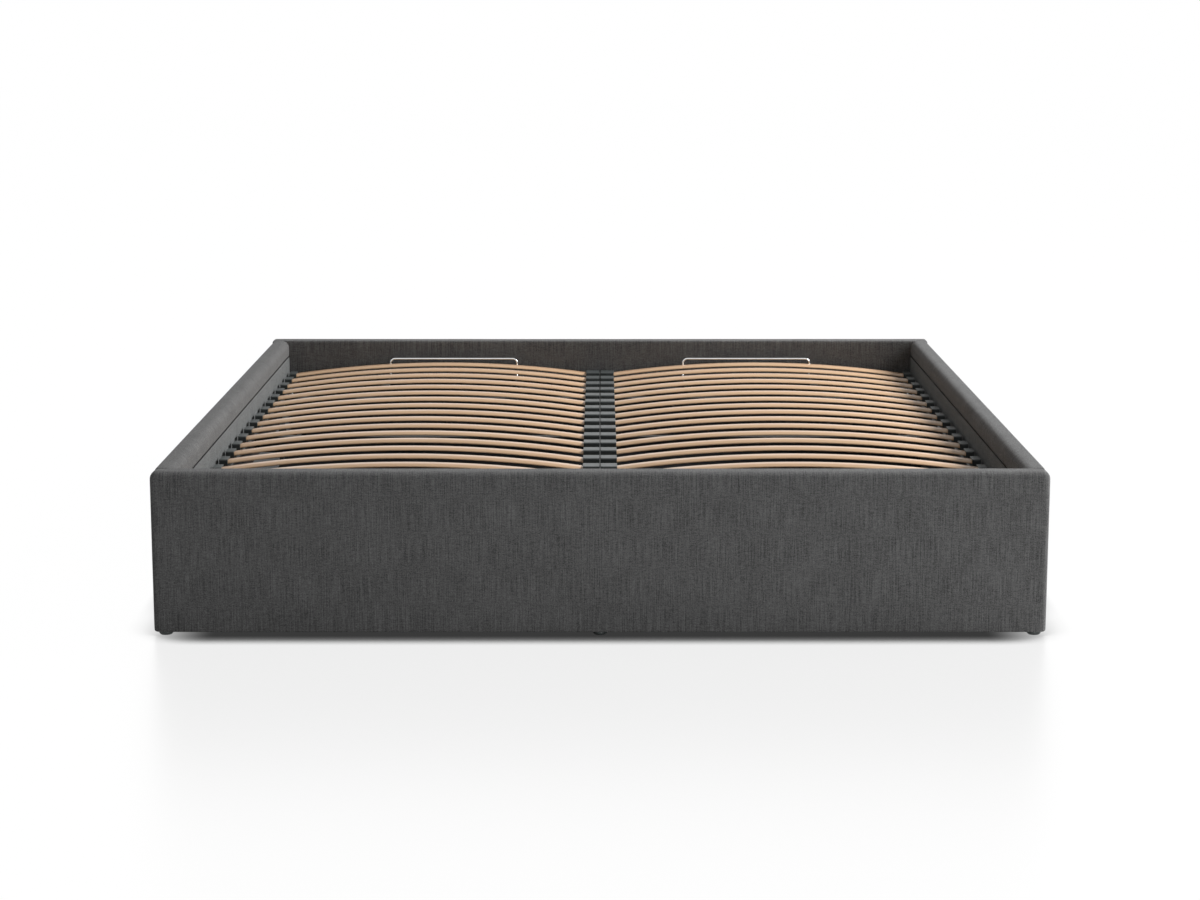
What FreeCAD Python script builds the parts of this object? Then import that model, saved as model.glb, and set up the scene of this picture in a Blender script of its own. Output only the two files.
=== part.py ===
import FreeCAD, Part
import Sketcher
import math
import os
import re

# Upholstered storage bed with a lifting sprung-slat platform, in millimetres.
# The origin is on the floor under the middle of the bed, +X is to the right as seen
# from the foot, +Y runs from the foot to the head and +Z is up.
# Each piece is modelled once on the right and mirrored to the left.

SIZES = {
    # Upholstered surround
    "bed_width": 1900,
    "bed_length": 2100,
    "panel_height": 345,
    "panel_thickness": 50,
    "padding": 8,
    "lining_drop": 44,
    "end_corner_radius": 15,
    "end_foot_radius": 10,
    "end_edge_radius": 12,
    "rail_edge_radius": 20,
    "rail_inset": 6,
    # Floor glides
    "glide_height": 10,
    "glide_radius": 15,
    "glide_toe": 3,
    # Storage floor
    "floor_thickness": 8,
    "batten_width": 25,
    "batten_height": 22,
    "beam_width": 60,
    # Corner brackets and their bolts
    "bracket_leg": 45,
    "bracket_height": 46,
    "bracket_thickness": 4,
    "bracket_lift": 6,
    "bolt_radius": 4,
    "bolt_head_radius": 7,
    "bolt_head_height": 3.5,
    "bolt_bite": 22,
    # Ledges that the closed platform lies on
    "ledge_width": 25,
    "ledge_height": 30,
    "ledge_length": 1550,
    # Steel platform frame
    "platform_height": 250,
    "platform_end_gap": 8,
    "tube_width": 25,
    "tube_height": 40,
    "tube_wall": 2,
    "tube_corner_radius": 2,
    "centre_tube_width": 50,
    "cross_tube_spacing": 620,
    "cap_thickness": 3,
    "cap_plug": 15,
    # Sprung slats
    "slat_width": 38,
    "slat_thickness": 8,
    "slat_rise": 34,
    "slat_seat": 7,
    "slat_insert": 17,
    "slat_clearance": 0.2,
    "row_pitch": 105,
    "row_setback": 47,
    # Slat holders
    "holder_depth": 46,
    "holder_wall": 3,
    "holder_chamfer": 2,
    "side_holder_length": 20,
    "centre_holder_length": 38,
    "centre_holder_gap": 3,
    # Mattress retainers of bent wire
    "retainer_wire_radius": 3,
    "retainer_width": 365,
    "retainer_centre": 422,
    "retainer_bend": 13,
    "retainer_height": 53,
    "retainer_setback": 26,
    "retainer_foot": 190,
    "clamp_length": 18,
    "clamp_width": 22,
    "clamp_roof": 3,
    # Pull strap at the foot
    "strap_span": 200,
    "strap_tab": 30,
    "strap_rise": 28,
    "strap_width": 22,
    "strap_thickness": 2.5,
    # Lift hinge
    "pivot_setback": 230,
    "plate_thickness": 3,
    "plate_gap": 1,
    "plate_half_width": 40,
    "plate_margin": 24,
    "plate_radius": 12,
    "plate_bolt_spread": 36,
    "plate_bolt_pitch": 45,
    "arm_thickness": 4,
    "arm_hub": 26,
    "arm_ear": 17,
    "arm_inset": 4,
    "arm_radius": 9,
    "arm_bolt_length": 14,
    "pivot_pin_radius": 6,
    "strut_pin_radius": 4,
    "pin_head_radius": 9,
    "pin_head_height": 3,
    "pin_collar_radius": 6,
    "pin_play": 0.5,
    "running_clearance": 0.05,
    # Gas struts
    "strut_reach": 160,
    "strut_pin_dip": 20,
    "strut_rest_angle": 72,
    "strut_offset": 13,
    "cylinder_radius": 9,
    "cylinder_wall": 1.5,
    "cylinder_start": 16,
    "cylinder_length": 132,
    "cylinder_base": 4,
    "guide_length": 9,
    "rod_radius": 4,
    "piston_length": 12,
    "eye_radius": 9,
    "eye_width": 12,
    "eye_neck_radius": 5.2,
    "eye_socket": 20,
    "rod_thread": 10,
    "piston_play": 2,
    # Length that every cut runs past the piece it cuts
    "overrun": 5,
}

doc = FreeCAD.newDocument("storage_bed")
sheet = doc.addObject("Spreadsheet::Sheet", "Sizes")
for row, (size_name, size_value) in enumerate(SIZES.items(), start=1):
    sheet.set("A%d" % row, size_name)
    sheet.set("B%d" % row, str(size_value))
    sheet.setAlias("B%d" % row, size_name)
doc.recompute()

NODES = []

# Formulas in the sheet's names that several pieces share

INNER_X = "(bed_width / 2 - panel_thickness)"
INNER_Y = "(bed_length / 2 - panel_thickness)"
RIM = "(glide_height + panel_height)"
LINING_TOP = f"({RIM} - lining_drop)"
FLOOR_TOP = "(glide_height + batten_height + floor_thickness)"
TUBE_BOTTOM = "(platform_height - tube_height)"
TUBE_OUT = f"({INNER_X} - plate_thickness - plate_gap - arm_thickness)"
TUBE_IN = f"({TUBE_OUT} - tube_width)"
TUBE_END = f"({INNER_Y} - platform_end_gap)"
ROW_SPAN = f"(2 * ({TUBE_END} - row_setback))"
FOOT_Y = f"({INNER_Y} - retainer_setback - retainer_foot)"
PIVOT_Y = f"({INNER_Y} - pivot_setback)"
PIVOT_Z = "(platform_height - tube_height / 2)"
ROD_PIN_Y = f"({PIVOT_Y} - strut_reach * cos(strut_pin_dip))"
ROD_PIN_Z = f"({PIVOT_Z} - strut_reach * sin(strut_pin_dip))"
BASE_PIN_Y = f"({PIVOT_Y} - strut_reach * cos(strut_pin_dip + strut_rest_angle))"
BASE_PIN_Z = f"({PIVOT_Z} - strut_reach * sin(strut_pin_dip + strut_rest_angle))"
STRUT_LENGTH = "(2 * strut_reach * sin(strut_rest_angle / 2))"
STRUT_X = f"({TUBE_OUT} - strut_offset)"


def on_sheet(formula):
    """Point each size name in a formula at its cell of the sheet."""
    return re.sub(r"[a-z_]+", lambda word: ("Sizes." if word[0] in SIZES else "") + word[0], formula)


def worth(formula):
    """The number that a formula comes to with the sheet as it stands."""
    return float(sheet.evalExpression(on_sheet(formula)))


def tie(piece, **formulas):
    """Bind properties of a piece to formulas; base_x stands for Placement.Base.x."""
    for name, formula in formulas.items():
        path = name.replace("base_", "Placement.Base.").replace("turn", "Placement.Rotation.Angle")
        piece.setExpression(path, on_sheet(formula))
    return piece


def keep(label, piece):
    """Give a finished piece the name that its file takes."""
    piece.Label = label
    NODES.append(piece)
    return piece


# Plain solids and booleans

def block(name, low, high):
    """A rectangular piece between two corners."""
    piece = doc.addObject("Part::Box", name)
    sides = [f"({top}) - ({bottom})" for bottom, top in zip(low, high)]
    tie(piece, Length=sides[0], Width=sides[1], Height=sides[2])
    return tie(piece, base_x=low[0], base_y=low[1], base_z=low[2])


TURNS = {
    "+X": FreeCAD.Rotation(FreeCAD.Vector(0, 1, 0), 90),
    "-X": FreeCAD.Rotation(FreeCAD.Vector(0, 1, 0), -90),
    "+Y": FreeCAD.Rotation(FreeCAD.Vector(1, 0, 0), -90),
    "-Y": FreeCAD.Rotation(FreeCAD.Vector(1, 0, 0), 90),
    "+Z": FreeCAD.Rotation(),
    "-Z": FreeCAD.Rotation(FreeCAD.Vector(1, 0, 0), 180),
}


def rod(name, start, way, radius, length):
    """A round bar from a point along one axis."""
    piece = doc.addObject("Part::Cylinder", name)
    piece.Placement = FreeCAD.Placement(FreeCAD.Vector(), TURNS[way])
    tie(piece, Radius=radius, Height=length)
    return tie(piece, base_x=start[0], base_y=start[1], base_z=start[2])


def group(name, pieces):
    """Several solids that share one name."""
    piece = doc.addObject("Part::Compound", name)
    piece.Links = pieces
    return piece


def fused(name, pieces):
    piece = doc.addObject("Part::MultiFuse", name)
    piece.Shapes = pieces
    return piece


def cut(name, base, tool):
    piece = doc.addObject("Part::Cut", name)
    piece.Base = base
    piece.Tool = tool
    return piece


def mirrored(name, source):
    """The left-hand twin of a right-hand piece."""
    piece = doc.addObject("Part::Mirroring", name)
    piece.Source = source
    piece.Normal = FreeCAD.Vector(1, 0, 0)
    return piece


def keep_pair(name, right):
    """Keep a right-hand piece and its left-hand twin."""
    keep(name + "_right", right)
    keep(name + "_left", mirrored(name + "_left", right))


def both_sides(name, right):
    """A right-hand piece and its twin as one group."""
    return group(name, [right, mirrored(name + "_twin", right)])


# Bodies made from sketches

def new_body(name):
    return doc.addObject("PartDesign::Body", name)


def origin_part(body, role):
    """One of a body's own origin planes or axes."""
    return next(item for item in body.Origin.OriginFeatures if item.Role == role)


def new_sketch(body, plane, name, lift="0"):
    """A sketch on one of the body's planes, moved off it by a lift."""
    sketch = body.newObject("Sketcher::SketchObject", name)
    sketch.AttachmentSupport = [(origin_part(body, plane), "")]
    sketch.MapMode = "FlatFace"
    sketch.setExpression("AttachmentOffset.Base.z", on_sheet(lift))
    return sketch


def tie_point(sketch, geometry, end, across=None, up=None):
    """Hold a point of a sketch at a place measured from the sketch's origin."""
    for kind, formula in (("DistanceX", across), ("DistanceY", up)):
        if formula is None:
            continue
        place = worth(formula)
        if place < 0:
            rule = Sketcher.Constraint(kind, geometry, end, -1, 1, -place)
            formula = f"-({formula})"
        else:
            rule = Sketcher.Constraint(kind, -1, 1, geometry, end, place)
        sketch.setExpression("Constraints[%d]" % sketch.addConstraint(rule), on_sheet(formula))


def draw_polygon(sketch, corners):
    """A closed outline of straight sides."""
    first = sketch.GeometryCount
    points = [FreeCAD.Vector(worth(across), worth(up), 0) for across, up in corners]
    for start, end in zip(points, points[1:] + points[:1]):
        sketch.addGeometry(Part.LineSegment(start, end), False)
    for index, (across, up) in enumerate(corners):
        following = first + (index + 1) % len(corners)
        sketch.addConstraint(Sketcher.Constraint("Coincident", first + index, 2, following, 1))
    for index, (across, up) in enumerate(corners):
        tie_point(sketch, first + index, 1, across, up)


def rectangle(low, high):
    return [(low[0], low[1]), (high[0], low[1]), (high[0], high[1]), (low[0], high[1])]


def draw_circle(sketch, across, up, radius):
    centre = FreeCAD.Vector(worth(across), worth(up), 0)
    ring = sketch.addGeometry(Part.Circle(centre, FreeCAD.Vector(0, 0, 1), worth(radius)), False)
    rule = sketch.addConstraint(Sketcher.Constraint("Radius", ring, worth(radius)))
    sketch.setExpression("Constraints[%d]" % rule, on_sheet(radius))
    tie_point(sketch, ring, 3, across, up)


def draw_bow(sketch, ends, centre, high_radius, low_radius):
    """An outline between two arcs about one centre and two upright ends."""
    middle = FreeCAD.Vector(worth(centre[0]), worth(centre[1]), 0)
    places = [worth(end) for end in ends]

    def add_arc(formula):
        """An arc from the far end back to the near end, with its height at both."""
        radius = worth(formula)
        angles = [math.acos((place - middle.x) / radius) for place in places]
        circle = Part.Circle(middle, FreeCAD.Vector(0, 0, 1), radius)
        arc = sketch.addGeometry(Part.ArcOfCircle(circle, angles[1], angles[0]), False)
        rule = sketch.addConstraint(Sketcher.Constraint("Radius", arc, radius))
        sketch.setExpression("Constraints[%d]" % rule, on_sheet(formula))
        return arc, [middle.y + radius * math.sin(angle) for angle in angles]

    top, top_heights = add_arc(high_radius)
    tie_point(sketch, top, 3, centre[0], centre[1])
    bottom, low_heights = add_arc(low_radius)
    sketch.addConstraint(Sketcher.Constraint("Coincident", top, 3, bottom, 3))
    for index, (end, pole) in enumerate(zip(ends, (2, 1))):
        foot = FreeCAD.Vector(places[index], low_heights[index], 0)
        head = FreeCAD.Vector(places[index], top_heights[index], 0)
        side = sketch.addGeometry(Part.LineSegment(foot, head), False)
        sketch.addConstraint(Sketcher.Constraint("Coincident", side, 1, bottom, pole))
        sketch.addConstraint(Sketcher.Constraint("Coincident", side, 2, top, pole))
        sketch.addConstraint(Sketcher.Constraint("Vertical", side))
        tie_point(sketch, side, 1, across=end)


def pad(body, sketch, length, middle=False):
    """Thicken a sketch along its plane's normal, or evenly to both sides."""
    feature = body.newObject("PartDesign::Pad", sketch.Name + "_pad")
    feature.Profile = sketch
    feature.Midplane = middle
    feature.setExpression("Length", on_sheet(length))
    doc.recompute()
    return feature


def pocket(body, sketch, length, middle=False, forward=False):
    """Cut a sketch into the body, and make sure that something was cut away."""
    before = body.Shape.Volume
    feature = body.newObject("PartDesign::Pocket", sketch.Name + "_pocket")
    feature.Profile = sketch
    feature.Midplane = middle
    feature.Reversed = forward
    feature.setExpression("Length", on_sheet(length))
    doc.recompute()
    if not body.Shape.Volume < before:
        raise RuntimeError(sketch.Name + " cuts nothing")
    return feature


def dress(body, kind, size, chosen):
    """Round or bevel the edges of a body that a test picks out."""
    base = body.Tip
    edges = ["Edge%d" % number for number, edge in enumerate(base.Shape.Edges, start=1) if chosen(edge)]
    feature = body.newObject("PartDesign::" + kind, base.Name + "_" + kind.lower())
    feature.Base = (base, edges)
    feature.setExpression("Radius" if kind == "Fillet" else "Size", on_sheet(size))
    doc.recompute()
    return feature


def turned(body, outline, name):
    """A round piece: half its section, drawn as radius and height, turned about the body's Z axis."""
    sketch = new_sketch(body, "XZ_Plane", name)
    draw_polygon(sketch, outline)
    feature = body.newObject("PartDesign::Revolution", name + "_turn")
    feature.Profile = sketch
    feature.ReferenceAxis = (origin_part(body, "Z_Axis"), [""])
    doc.recompute()
    return feature


def rows(body):
    """Repeat the body at every slat row, evenly from the foot to the head."""
    feature = body.newObject("PartDesign::LinearPattern", body.Name + "_rows")
    feature.TransformMode = "Whole shape"
    feature.Direction = (origin_part(body, "Y_Axis"), [""])
    feature.setExpression("Occurrences", on_sheet(f"round({ROW_SPAN} / row_pitch) + 1"))
    feature.setExpression("Length", on_sheet(ROW_SPAN))
    body.Tip = feature
    tie(body, base_y=f"-{ROW_SPAN} / 2")


def along(axis):
    """A test for straight edges that run along one axis."""
    def chosen(edge):
        if edge.Curve.TypeId != "Part::GeomLine":
            return False
        return abs(getattr(edge.tangentAt(edge.FirstParameter), axis)) > 0.99
    return chosen


def centre_of(edge):
    return edge.CenterOfMass


# Bolts, in sets that share a shank and a head

def bolt_set(name, places, way, bite, into):
    """Shanks and whole bolts of one set: each starts under its head and runs into what it holds."""
    shanks = []
    bolts = []
    back = {"+X": "-X", "+Y": "-Y", "-Y": "+Y", "-Z": "+Z"}[way]
    for number, place in enumerate(places, start=1):
        shank = rod(f"{name}_shank_{number}", place, way, "bolt_radius", f"{into} + {bite}")
        head = rod(f"{name}_head_{number}", place, back, "bolt_head_radius", "bolt_head_height")
        shanks.append(shank)
        bolts.append(fused(f"{name}_{number}", [shank, head]))
    return shanks, bolts


# Corner brackets: a steel angle low in each corner, over the storage floor

def corner_bracket(name, end):
    """The right-hand angle at the head (end is +1) or the foot (end is -1)."""
    body = new_body(name)
    face = f"{end} * {INNER_Y}"
    inside = f"{end} * ({INNER_Y} - bracket_thickness)"
    tail = f"{end} * ({INNER_Y} - bracket_leg)"
    outline = [
        (INNER_X, face),
        (f"{INNER_X} - bracket_leg", face),
        (f"{INNER_X} - bracket_leg", inside),
        (f"{INNER_X} - bracket_thickness", inside),
        (f"{INNER_X} - bracket_thickness", tail),
        (INNER_X, tail),
    ]
    sketch = new_sketch(body, "XY_Plane", name + "_outline")
    draw_polygon(sketch, outline)
    pad(body, sketch, "bracket_height")
    return tie(body, base_z=BRACKET_BOTTOM)


BRACKET_BOTTOM = f"({FLOOR_TOP} + bracket_lift)"
BOLT_HEIGHTS = [f"({BRACKET_BOTTOM} + bracket_height / 4)", f"({BRACKET_BOTTOM} + bracket_height * 3 / 4)"]
BOLT_IN = "(bracket_leg + bracket_thickness) / 2"

brackets = []
corner_bolts = []
corner_shanks = []
for end_name, end in (("foot", -1), ("head", 1)):
    rail_places = [
        (f"{INNER_X} - bracket_thickness", f"{end} * ({INNER_Y} - {BOLT_IN})", height)
        for height in BOLT_HEIGHTS
    ]
    end_places = [
        (f"{INNER_X} - {BOLT_IN}", f"{end} * ({INNER_Y} - bracket_thickness)", height)
        for height in BOLT_HEIGHTS
    ]
    end_way = "+Y" if end > 0 else "-Y"
    bite = "bolt_bite"
    rail_set = bolt_set(f"rail_bolt_{end_name}", rail_places, "+X", bite, "bracket_thickness")
    end_set = bolt_set(f"end_bolt_{end_name}", end_places, end_way, bite, "bracket_thickness")
    corner_shanks += rail_set[0] + end_set[0]
    corner_bolts += rail_set[1] + end_set[1]
    brackets.append(corner_bracket(f"bracket_{end_name}", end))

corner_shank_group = both_sides("corner_shanks", group("corner_shanks_right", corner_shanks))
bracket_group = both_sides("brackets", group("brackets_right", brackets))
keep("corner_brackets", cut("corner_brackets", bracket_group, corner_shank_group))
keep("corner_bolts", both_sides("corner_bolts", group("corner_bolts_right", corner_bolts)))


# Hinge plate places that the rails share

PLATE_IN = f"({INNER_X} - plate_thickness)"
PLATE_BOLT_LOW = f"({BASE_PIN_Z} + plate_bolt_pitch)"
plate_bolt_places = [
    (PLATE_IN, f"{PIVOT_Y} + {side} * plate_bolt_spread / 2", f"{PLATE_BOLT_LOW} + {step} * plate_bolt_pitch")
    for side in (-1, 1)
    for step in (0, 1)
]
plate_shanks, plate_bolts = bolt_set("plate_bolt", plate_bolt_places, "+X", "bolt_bite", "plate_thickness")


# End panels: a board in a padded cover that wraps its front, top, ends and back

def end_panel(name, end):
    """The foot panel (end is -1) or the head panel (end is +1), over the full width."""
    half = "bed_width / 2"
    board_half = f"({half} - padding)"
    near = f"({INNER_Y})"
    far = "(bed_length / 2)"
    board_top = f"({RIM} - padding)"
    low_y, high_y = (near, far) if end > 0 else (f"-{far}", f"-{near}")

    body = new_body(name + "_cover_form")
    face = new_sketch(body, "XZ_Plane", name + "_face")
    draw_polygon(face, rectangle((f"-{half}", "glide_height"), (half, RIM)))
    pad(body, face, "panel_thickness", middle=True)
    upright = along("y")
    dress(body, "Fillet", "end_corner_radius", lambda e: upright(e) and centre_of(e).z > worth(RIM) / 2)
    dress(body, "Fillet", "end_foot_radius", lambda e: upright(e) and centre_of(e).z < worth(RIM) / 2)
    foot = worth("glide_height + end_foot_radius / 2")
    dress(
        body, "Fillet", "end_edge_radius",
        lambda e: not upright(e) and abs(e.BoundBox.YLength) < e.Length / 2 and centre_of(e).z > foot,
    )
    slot = new_sketch(body, "XY_Plane", name + "_board_slot", "glide_height")
    depth = "(panel_thickness / 2 - padding)"
    draw_polygon(slot, rectangle((f"-{board_half}", f"-{depth}"), (board_half, depth)))
    pocket(body, slot, f"{board_top} - glide_height", forward=True)
    tie(body, base_y=f"{end} * (bed_length / 2 - panel_thickness / 2)")

    board = block(
        name + "_board_blank",
        (f"-{board_half}", f"{low_y} + padding", "glide_height"),
        (board_half, f"{high_y} - padding", board_top),
    )
    keep(name + "_cover", cut(name + "_cover", body, corner_shank_group))
    keep(name + "_board", cut(name + "_board", board, corner_shank_group))


end_panel("front_panel", -1)
end_panel("rear_panel", 1)


# Side rails: a board, a padded cover over its outside and rim, and a flat lining inside

def side_rail():
    outside = "(bed_width / 2 - rail_inset)"
    body = new_body("rail_cover_form")
    outline = new_sketch(body, "XZ_Plane", "rail_outline")
    draw_polygon(outline, [
        (INNER_X, LINING_TOP),
        (f"{INNER_X} + padding", LINING_TOP),
        (f"{INNER_X} + padding", f"{RIM} - padding"),
        (f"{outside} - padding", f"{RIM} - padding"),
        (f"{outside} - padding", "glide_height"),
        (outside, "glide_height"),
        (outside, RIM),
        (INNER_X, RIM),
    ])
    pad(body, outline, f"2 * {INNER_Y}", middle=True)
    lengthwise = along("y")
    rim = worth(f"{RIM} - padding / 2")
    dress(body, "Fillet", "rail_edge_radius", lambda e: lengthwise(e) and centre_of(e).z > rim)

    board = block(
        "rail_board_blank",
        (f"{INNER_X} + padding", f"-{INNER_Y}", "glide_height"),
        (f"{outside} - padding", INNER_Y, f"{RIM} - padding"),
    )
    lining = block(
        "rail_lining_blank",
        (INNER_X, f"-{INNER_Y}", "glide_height"),
        (f"{INNER_X} + padding", INNER_Y, LINING_TOP),
    )
    shanks = group("rail_shanks", corner_shanks + plate_shanks)
    keep_pair("side_rail_cover", body)
    keep_pair("side_rail_board", cut("side_rail_board_right", board, shanks))
    keep_pair("side_rail_lining", cut("side_rail_lining_right", lining, shanks))


side_rail()


# Storage floor: battens round the foot of the frame, a middle beam and four panels

BATTEN_TOP = "(glide_height + batten_height)"

side_batten = block(
    "side_batten",
    (f"{INNER_X} - batten_width", f"-{INNER_Y}", "glide_height"),
    (INNER_X, INNER_Y, BATTEN_TOP),
)
end_battens = [
    block(
        f"{end_name}_batten",
        (f"-({INNER_X} - batten_width)", low, "glide_height"),
        (f"{INNER_X} - batten_width", high, BATTEN_TOP),
    )
    for end_name, low, high in (
        ("foot", f"-{INNER_Y}", f"-({INNER_Y} - batten_width)"),
        ("head", f"{INNER_Y} - batten_width", INNER_Y),
    )
]
cross_batten = block(
    "cross_batten",
    ("beam_width / 2", "-batten_width / 2", "glide_height"),
    (f"{INNER_X} - batten_width", "batten_width / 2", BATTEN_TOP),
)
batten_pairs = both_sides("batten_pairs", group("battens_right", [side_batten, cross_batten]))
keep("floor_battens", group("floor_battens", [batten_pairs] + end_battens))

keep("floor_beam", block(
    "floor_beam",
    ("-beam_width / 2", f"-({INNER_Y} - batten_width)", "glide_height"),
    ("beam_width / 2", f"{INNER_Y} - batten_width", BATTEN_TOP),
))

for end_name, low, high in (("front", f"-{INNER_Y}", "0"), ("rear", "0", INNER_Y)):
    keep_pair(f"floor_panel_{end_name}", block(
        f"floor_panel_{end_name}_right", ("0", low, BATTEN_TOP), (INNER_X, high, FLOOR_TOP)))


# Floor glides: tapered plastic pucks under the boards and the beam

def glide(name, across, forward):
    body = new_body(name)
    turned(body, [
        ("0", "0"),
        ("glide_radius - glide_toe", "0"),
        ("glide_radius", "glide_toe"),
        ("glide_radius", "glide_height"),
        ("0", "glide_height"),
    ], name + "_section")
    return tie(body, base_x=across, base_y=forward)


CORNER_X = "(bed_width / 2 - panel_thickness / 2)"
CORNER_Y = "(bed_length / 2 - panel_thickness / 2)"
rail_glides = [
    glide(f"rail_glide_{number}", CORNER_X, place)
    for number, place in enumerate((f"-{CORNER_Y}", "0", CORNER_Y), start=1)
]
MIDDLE_GLIDES_Y = (f"-{CORNER_Y}", f"-{INNER_Y} / 2", "0", f"{INNER_Y} / 2", CORNER_Y)
middle_glides = [
    glide(f"middle_glide_{number}", "0", place)
    for number, place in enumerate(MIDDLE_GLIDES_Y, start=1)
]
rail_glide_pairs = both_sides("rail_glide_pairs", group("rail_glides", rail_glides))
keep("floor_glides", group("floor_glides", [rail_glide_pairs] + middle_glides))


# Ledges that carry the closed platform

LEDGE_BOTTOM = f"({TUBE_BOTTOM} - ledge_height)"
keep_pair("side_ledge", block(
    "side_ledge_right",
    (f"{INNER_X} - ledge_width", f"-{INNER_Y}", LEDGE_BOTTOM),
    (INNER_X, f"-{INNER_Y} + ledge_length", TUBE_BOTTOM),
))
keep("front_ledge", block(
    "front_ledge",
    (f"-({INNER_X} - ledge_width)", f"-{INNER_Y}", LEDGE_BOTTOM),
    (f"{INNER_X} - ledge_width", f"-({INNER_Y} - ledge_width)", TUBE_BOTTOM),
))


# Steel platform frame of rectangular tube

def tube(name, plane, low, high, length, lift="0", middle=True):
    """A length of rectangular tube: an outer and an inner outline, padded, with rounded long edges."""
    body = new_body(name)
    section = new_sketch(body, plane, name + "_section", lift)
    draw_polygon(section, rectangle(low, high))
    inner_low = [f"{place} + tube_wall" for place in low]
    inner_high = [f"{place} - tube_wall" for place in high]
    draw_polygon(section, rectangle(inner_low, inner_high))
    pad(body, section, length, middle)
    axis = {"XZ_Plane": "y", "YZ_Plane": "x"}[plane]
    lengthwise = along(axis)
    box = body.Shape.BoundBox
    outer = {"y": (box.XMin, box.XMax), "x": (box.YMin, box.YMax)}[axis]

    def outside(edge):
        place = centre_of(edge).x if axis == "y" else centre_of(edge).y
        return lengthwise(edge) and min(abs(place - side) for side in outer) < worth("tube_wall / 2")

    dress(body, "Fillet", "tube_corner_radius", outside)
    return body


END_TUBE_IN = f"({TUBE_END} - tube_width)"

keep("platform_centre_tube", tube(
    "platform_centre_tube", "XZ_Plane",
    ("-centre_tube_width / 2", TUBE_BOTTOM), ("centre_tube_width / 2", "platform_height"),
    f"2 * {END_TUBE_IN}",
))
front_tube = tube(
    "front_tube_form", "YZ_Plane",
    (f"-{TUBE_END}", TUBE_BOTTOM), (f"-{END_TUBE_IN}", "platform_height"), f"2 * {TUBE_IN}",
)
keep("platform_rear_tube", tube(
    "platform_rear_tube", "YZ_Plane",
    (END_TUBE_IN, TUBE_BOTTOM), (TUBE_END, "platform_height"), f"2 * {TUBE_IN}",
))

cross_tubes = []
for number, step in enumerate((-1, 0, 1), start=1):
    low = f"({step} * cross_tube_spacing - tube_width / 2)"
    cross_tubes.append(tube(
        f"cross_tube_{number}", "YZ_Plane",
        (low, TUBE_BOTTOM), (f"({low} + tube_width)", "platform_height"),
        f"{TUBE_IN} - centre_tube_width / 2", lift="centre_tube_width / 2", middle=False,
    ))
cross_tubes.append(tube(
    "cross_tube_head", "YZ_Plane",
    (FOOT_Y, TUBE_BOTTOM), (f"({FOOT_Y} + tube_width)", "platform_height"),
    f"{TUBE_IN} - centre_tube_width / 2", lift="centre_tube_width / 2", middle=False,
))
keep_pair("platform_cross_tubes", group("platform_cross_tubes_right", cross_tubes))


# Lift arms: a plate on each side tube with an ear that hangs below it for the strut

def lift_arm():
    body = new_body("lift_arm_form")
    low = f"({TUBE_BOTTOM} + arm_inset)"
    high = "(platform_height - arm_inset)"
    outline = new_sketch(body, "YZ_Plane", "arm_outline", TUBE_OUT)
    draw_polygon(outline, [
        (f"{PIVOT_Y} + arm_hub", low),
        (f"{PIVOT_Y} + arm_hub", high),
        (f"{ROD_PIN_Y} - arm_ear", high),
        (f"{ROD_PIN_Y} - arm_ear", f"{ROD_PIN_Z} - arm_ear"),
        (f"{ROD_PIN_Y} + arm_ear", f"{ROD_PIN_Z} - arm_ear"),
        (f"{ROD_PIN_Y} + 3 * arm_ear", low),
    ])
    pad(body, outline, "arm_thickness")
    dress(body, "Fillet", "arm_radius", along("x"))
    return body


ARM_OUT = f"({TUBE_OUT} + arm_thickness)"
ARM_BOLT_SHARES = (0.3, 0.55, 0.8)
arm_bolt_places = [
    (f"{TUBE_OUT}", f"{PIVOT_Y} - {share} * ({PIVOT_Y} - {ROD_PIN_Y})", PIVOT_Z)
    for share in ARM_BOLT_SHARES
]


def countersunk(number, place):
    """An arm bolt whose head lies flush in the plate, clear of the fixed plate beside it."""
    body = new_body(f"arm_bolt_{number}")
    turned(body, [
        ("0", "-arm_bolt_length"),
        ("bolt_radius", "-arm_bolt_length"),
        ("bolt_radius", "0"),
        ("bolt_head_radius", "arm_thickness"),
        ("0", "arm_thickness"),
    ], f"arm_bolt_section_{number}")
    body.Placement = FreeCAD.Placement(FreeCAD.Vector(), TURNS["+X"])
    return tie(body, base_x=place[0], base_y=place[1], base_z=place[2])


arm_bolts = group("arm_bolts_right", [
    countersunk(number, place) for number, place in enumerate(arm_bolt_places, start=1)
])
pivot_bore = rod(
    "pivot_bore", (f"{ARM_OUT} + overrun", PIVOT_Y, PIVOT_Z), "-X",
    "pivot_pin_radius + running_clearance", "arm_thickness + tube_width + 2 * overrun",
)
rod_pin_hole = rod(
    "rod_pin_hole", (ARM_OUT, ROD_PIN_Y, ROD_PIN_Z), "-X", "strut_pin_radius", "arm_thickness",
)
arm_holes = group("arm_holes", [pivot_bore, rod_pin_hole, arm_bolts])
keep_pair("lift_arm", cut("lift_arm_right", lift_arm(), arm_holes))
keep("arm_bolts", both_sides("arm_bolts", arm_bolts))

side_tube = tube(
    "side_tube_form", "XZ_Plane",
    (TUBE_IN, TUBE_BOTTOM), (TUBE_OUT, "platform_height"), f"2 * {TUBE_END}",
)
keep_pair("platform_side_tube", cut(
    "platform_side_tube_right", side_tube, group("side_tube_holes", [pivot_bore, arm_bolts])))


# Plastic caps in the open ends of the side tubes

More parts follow.
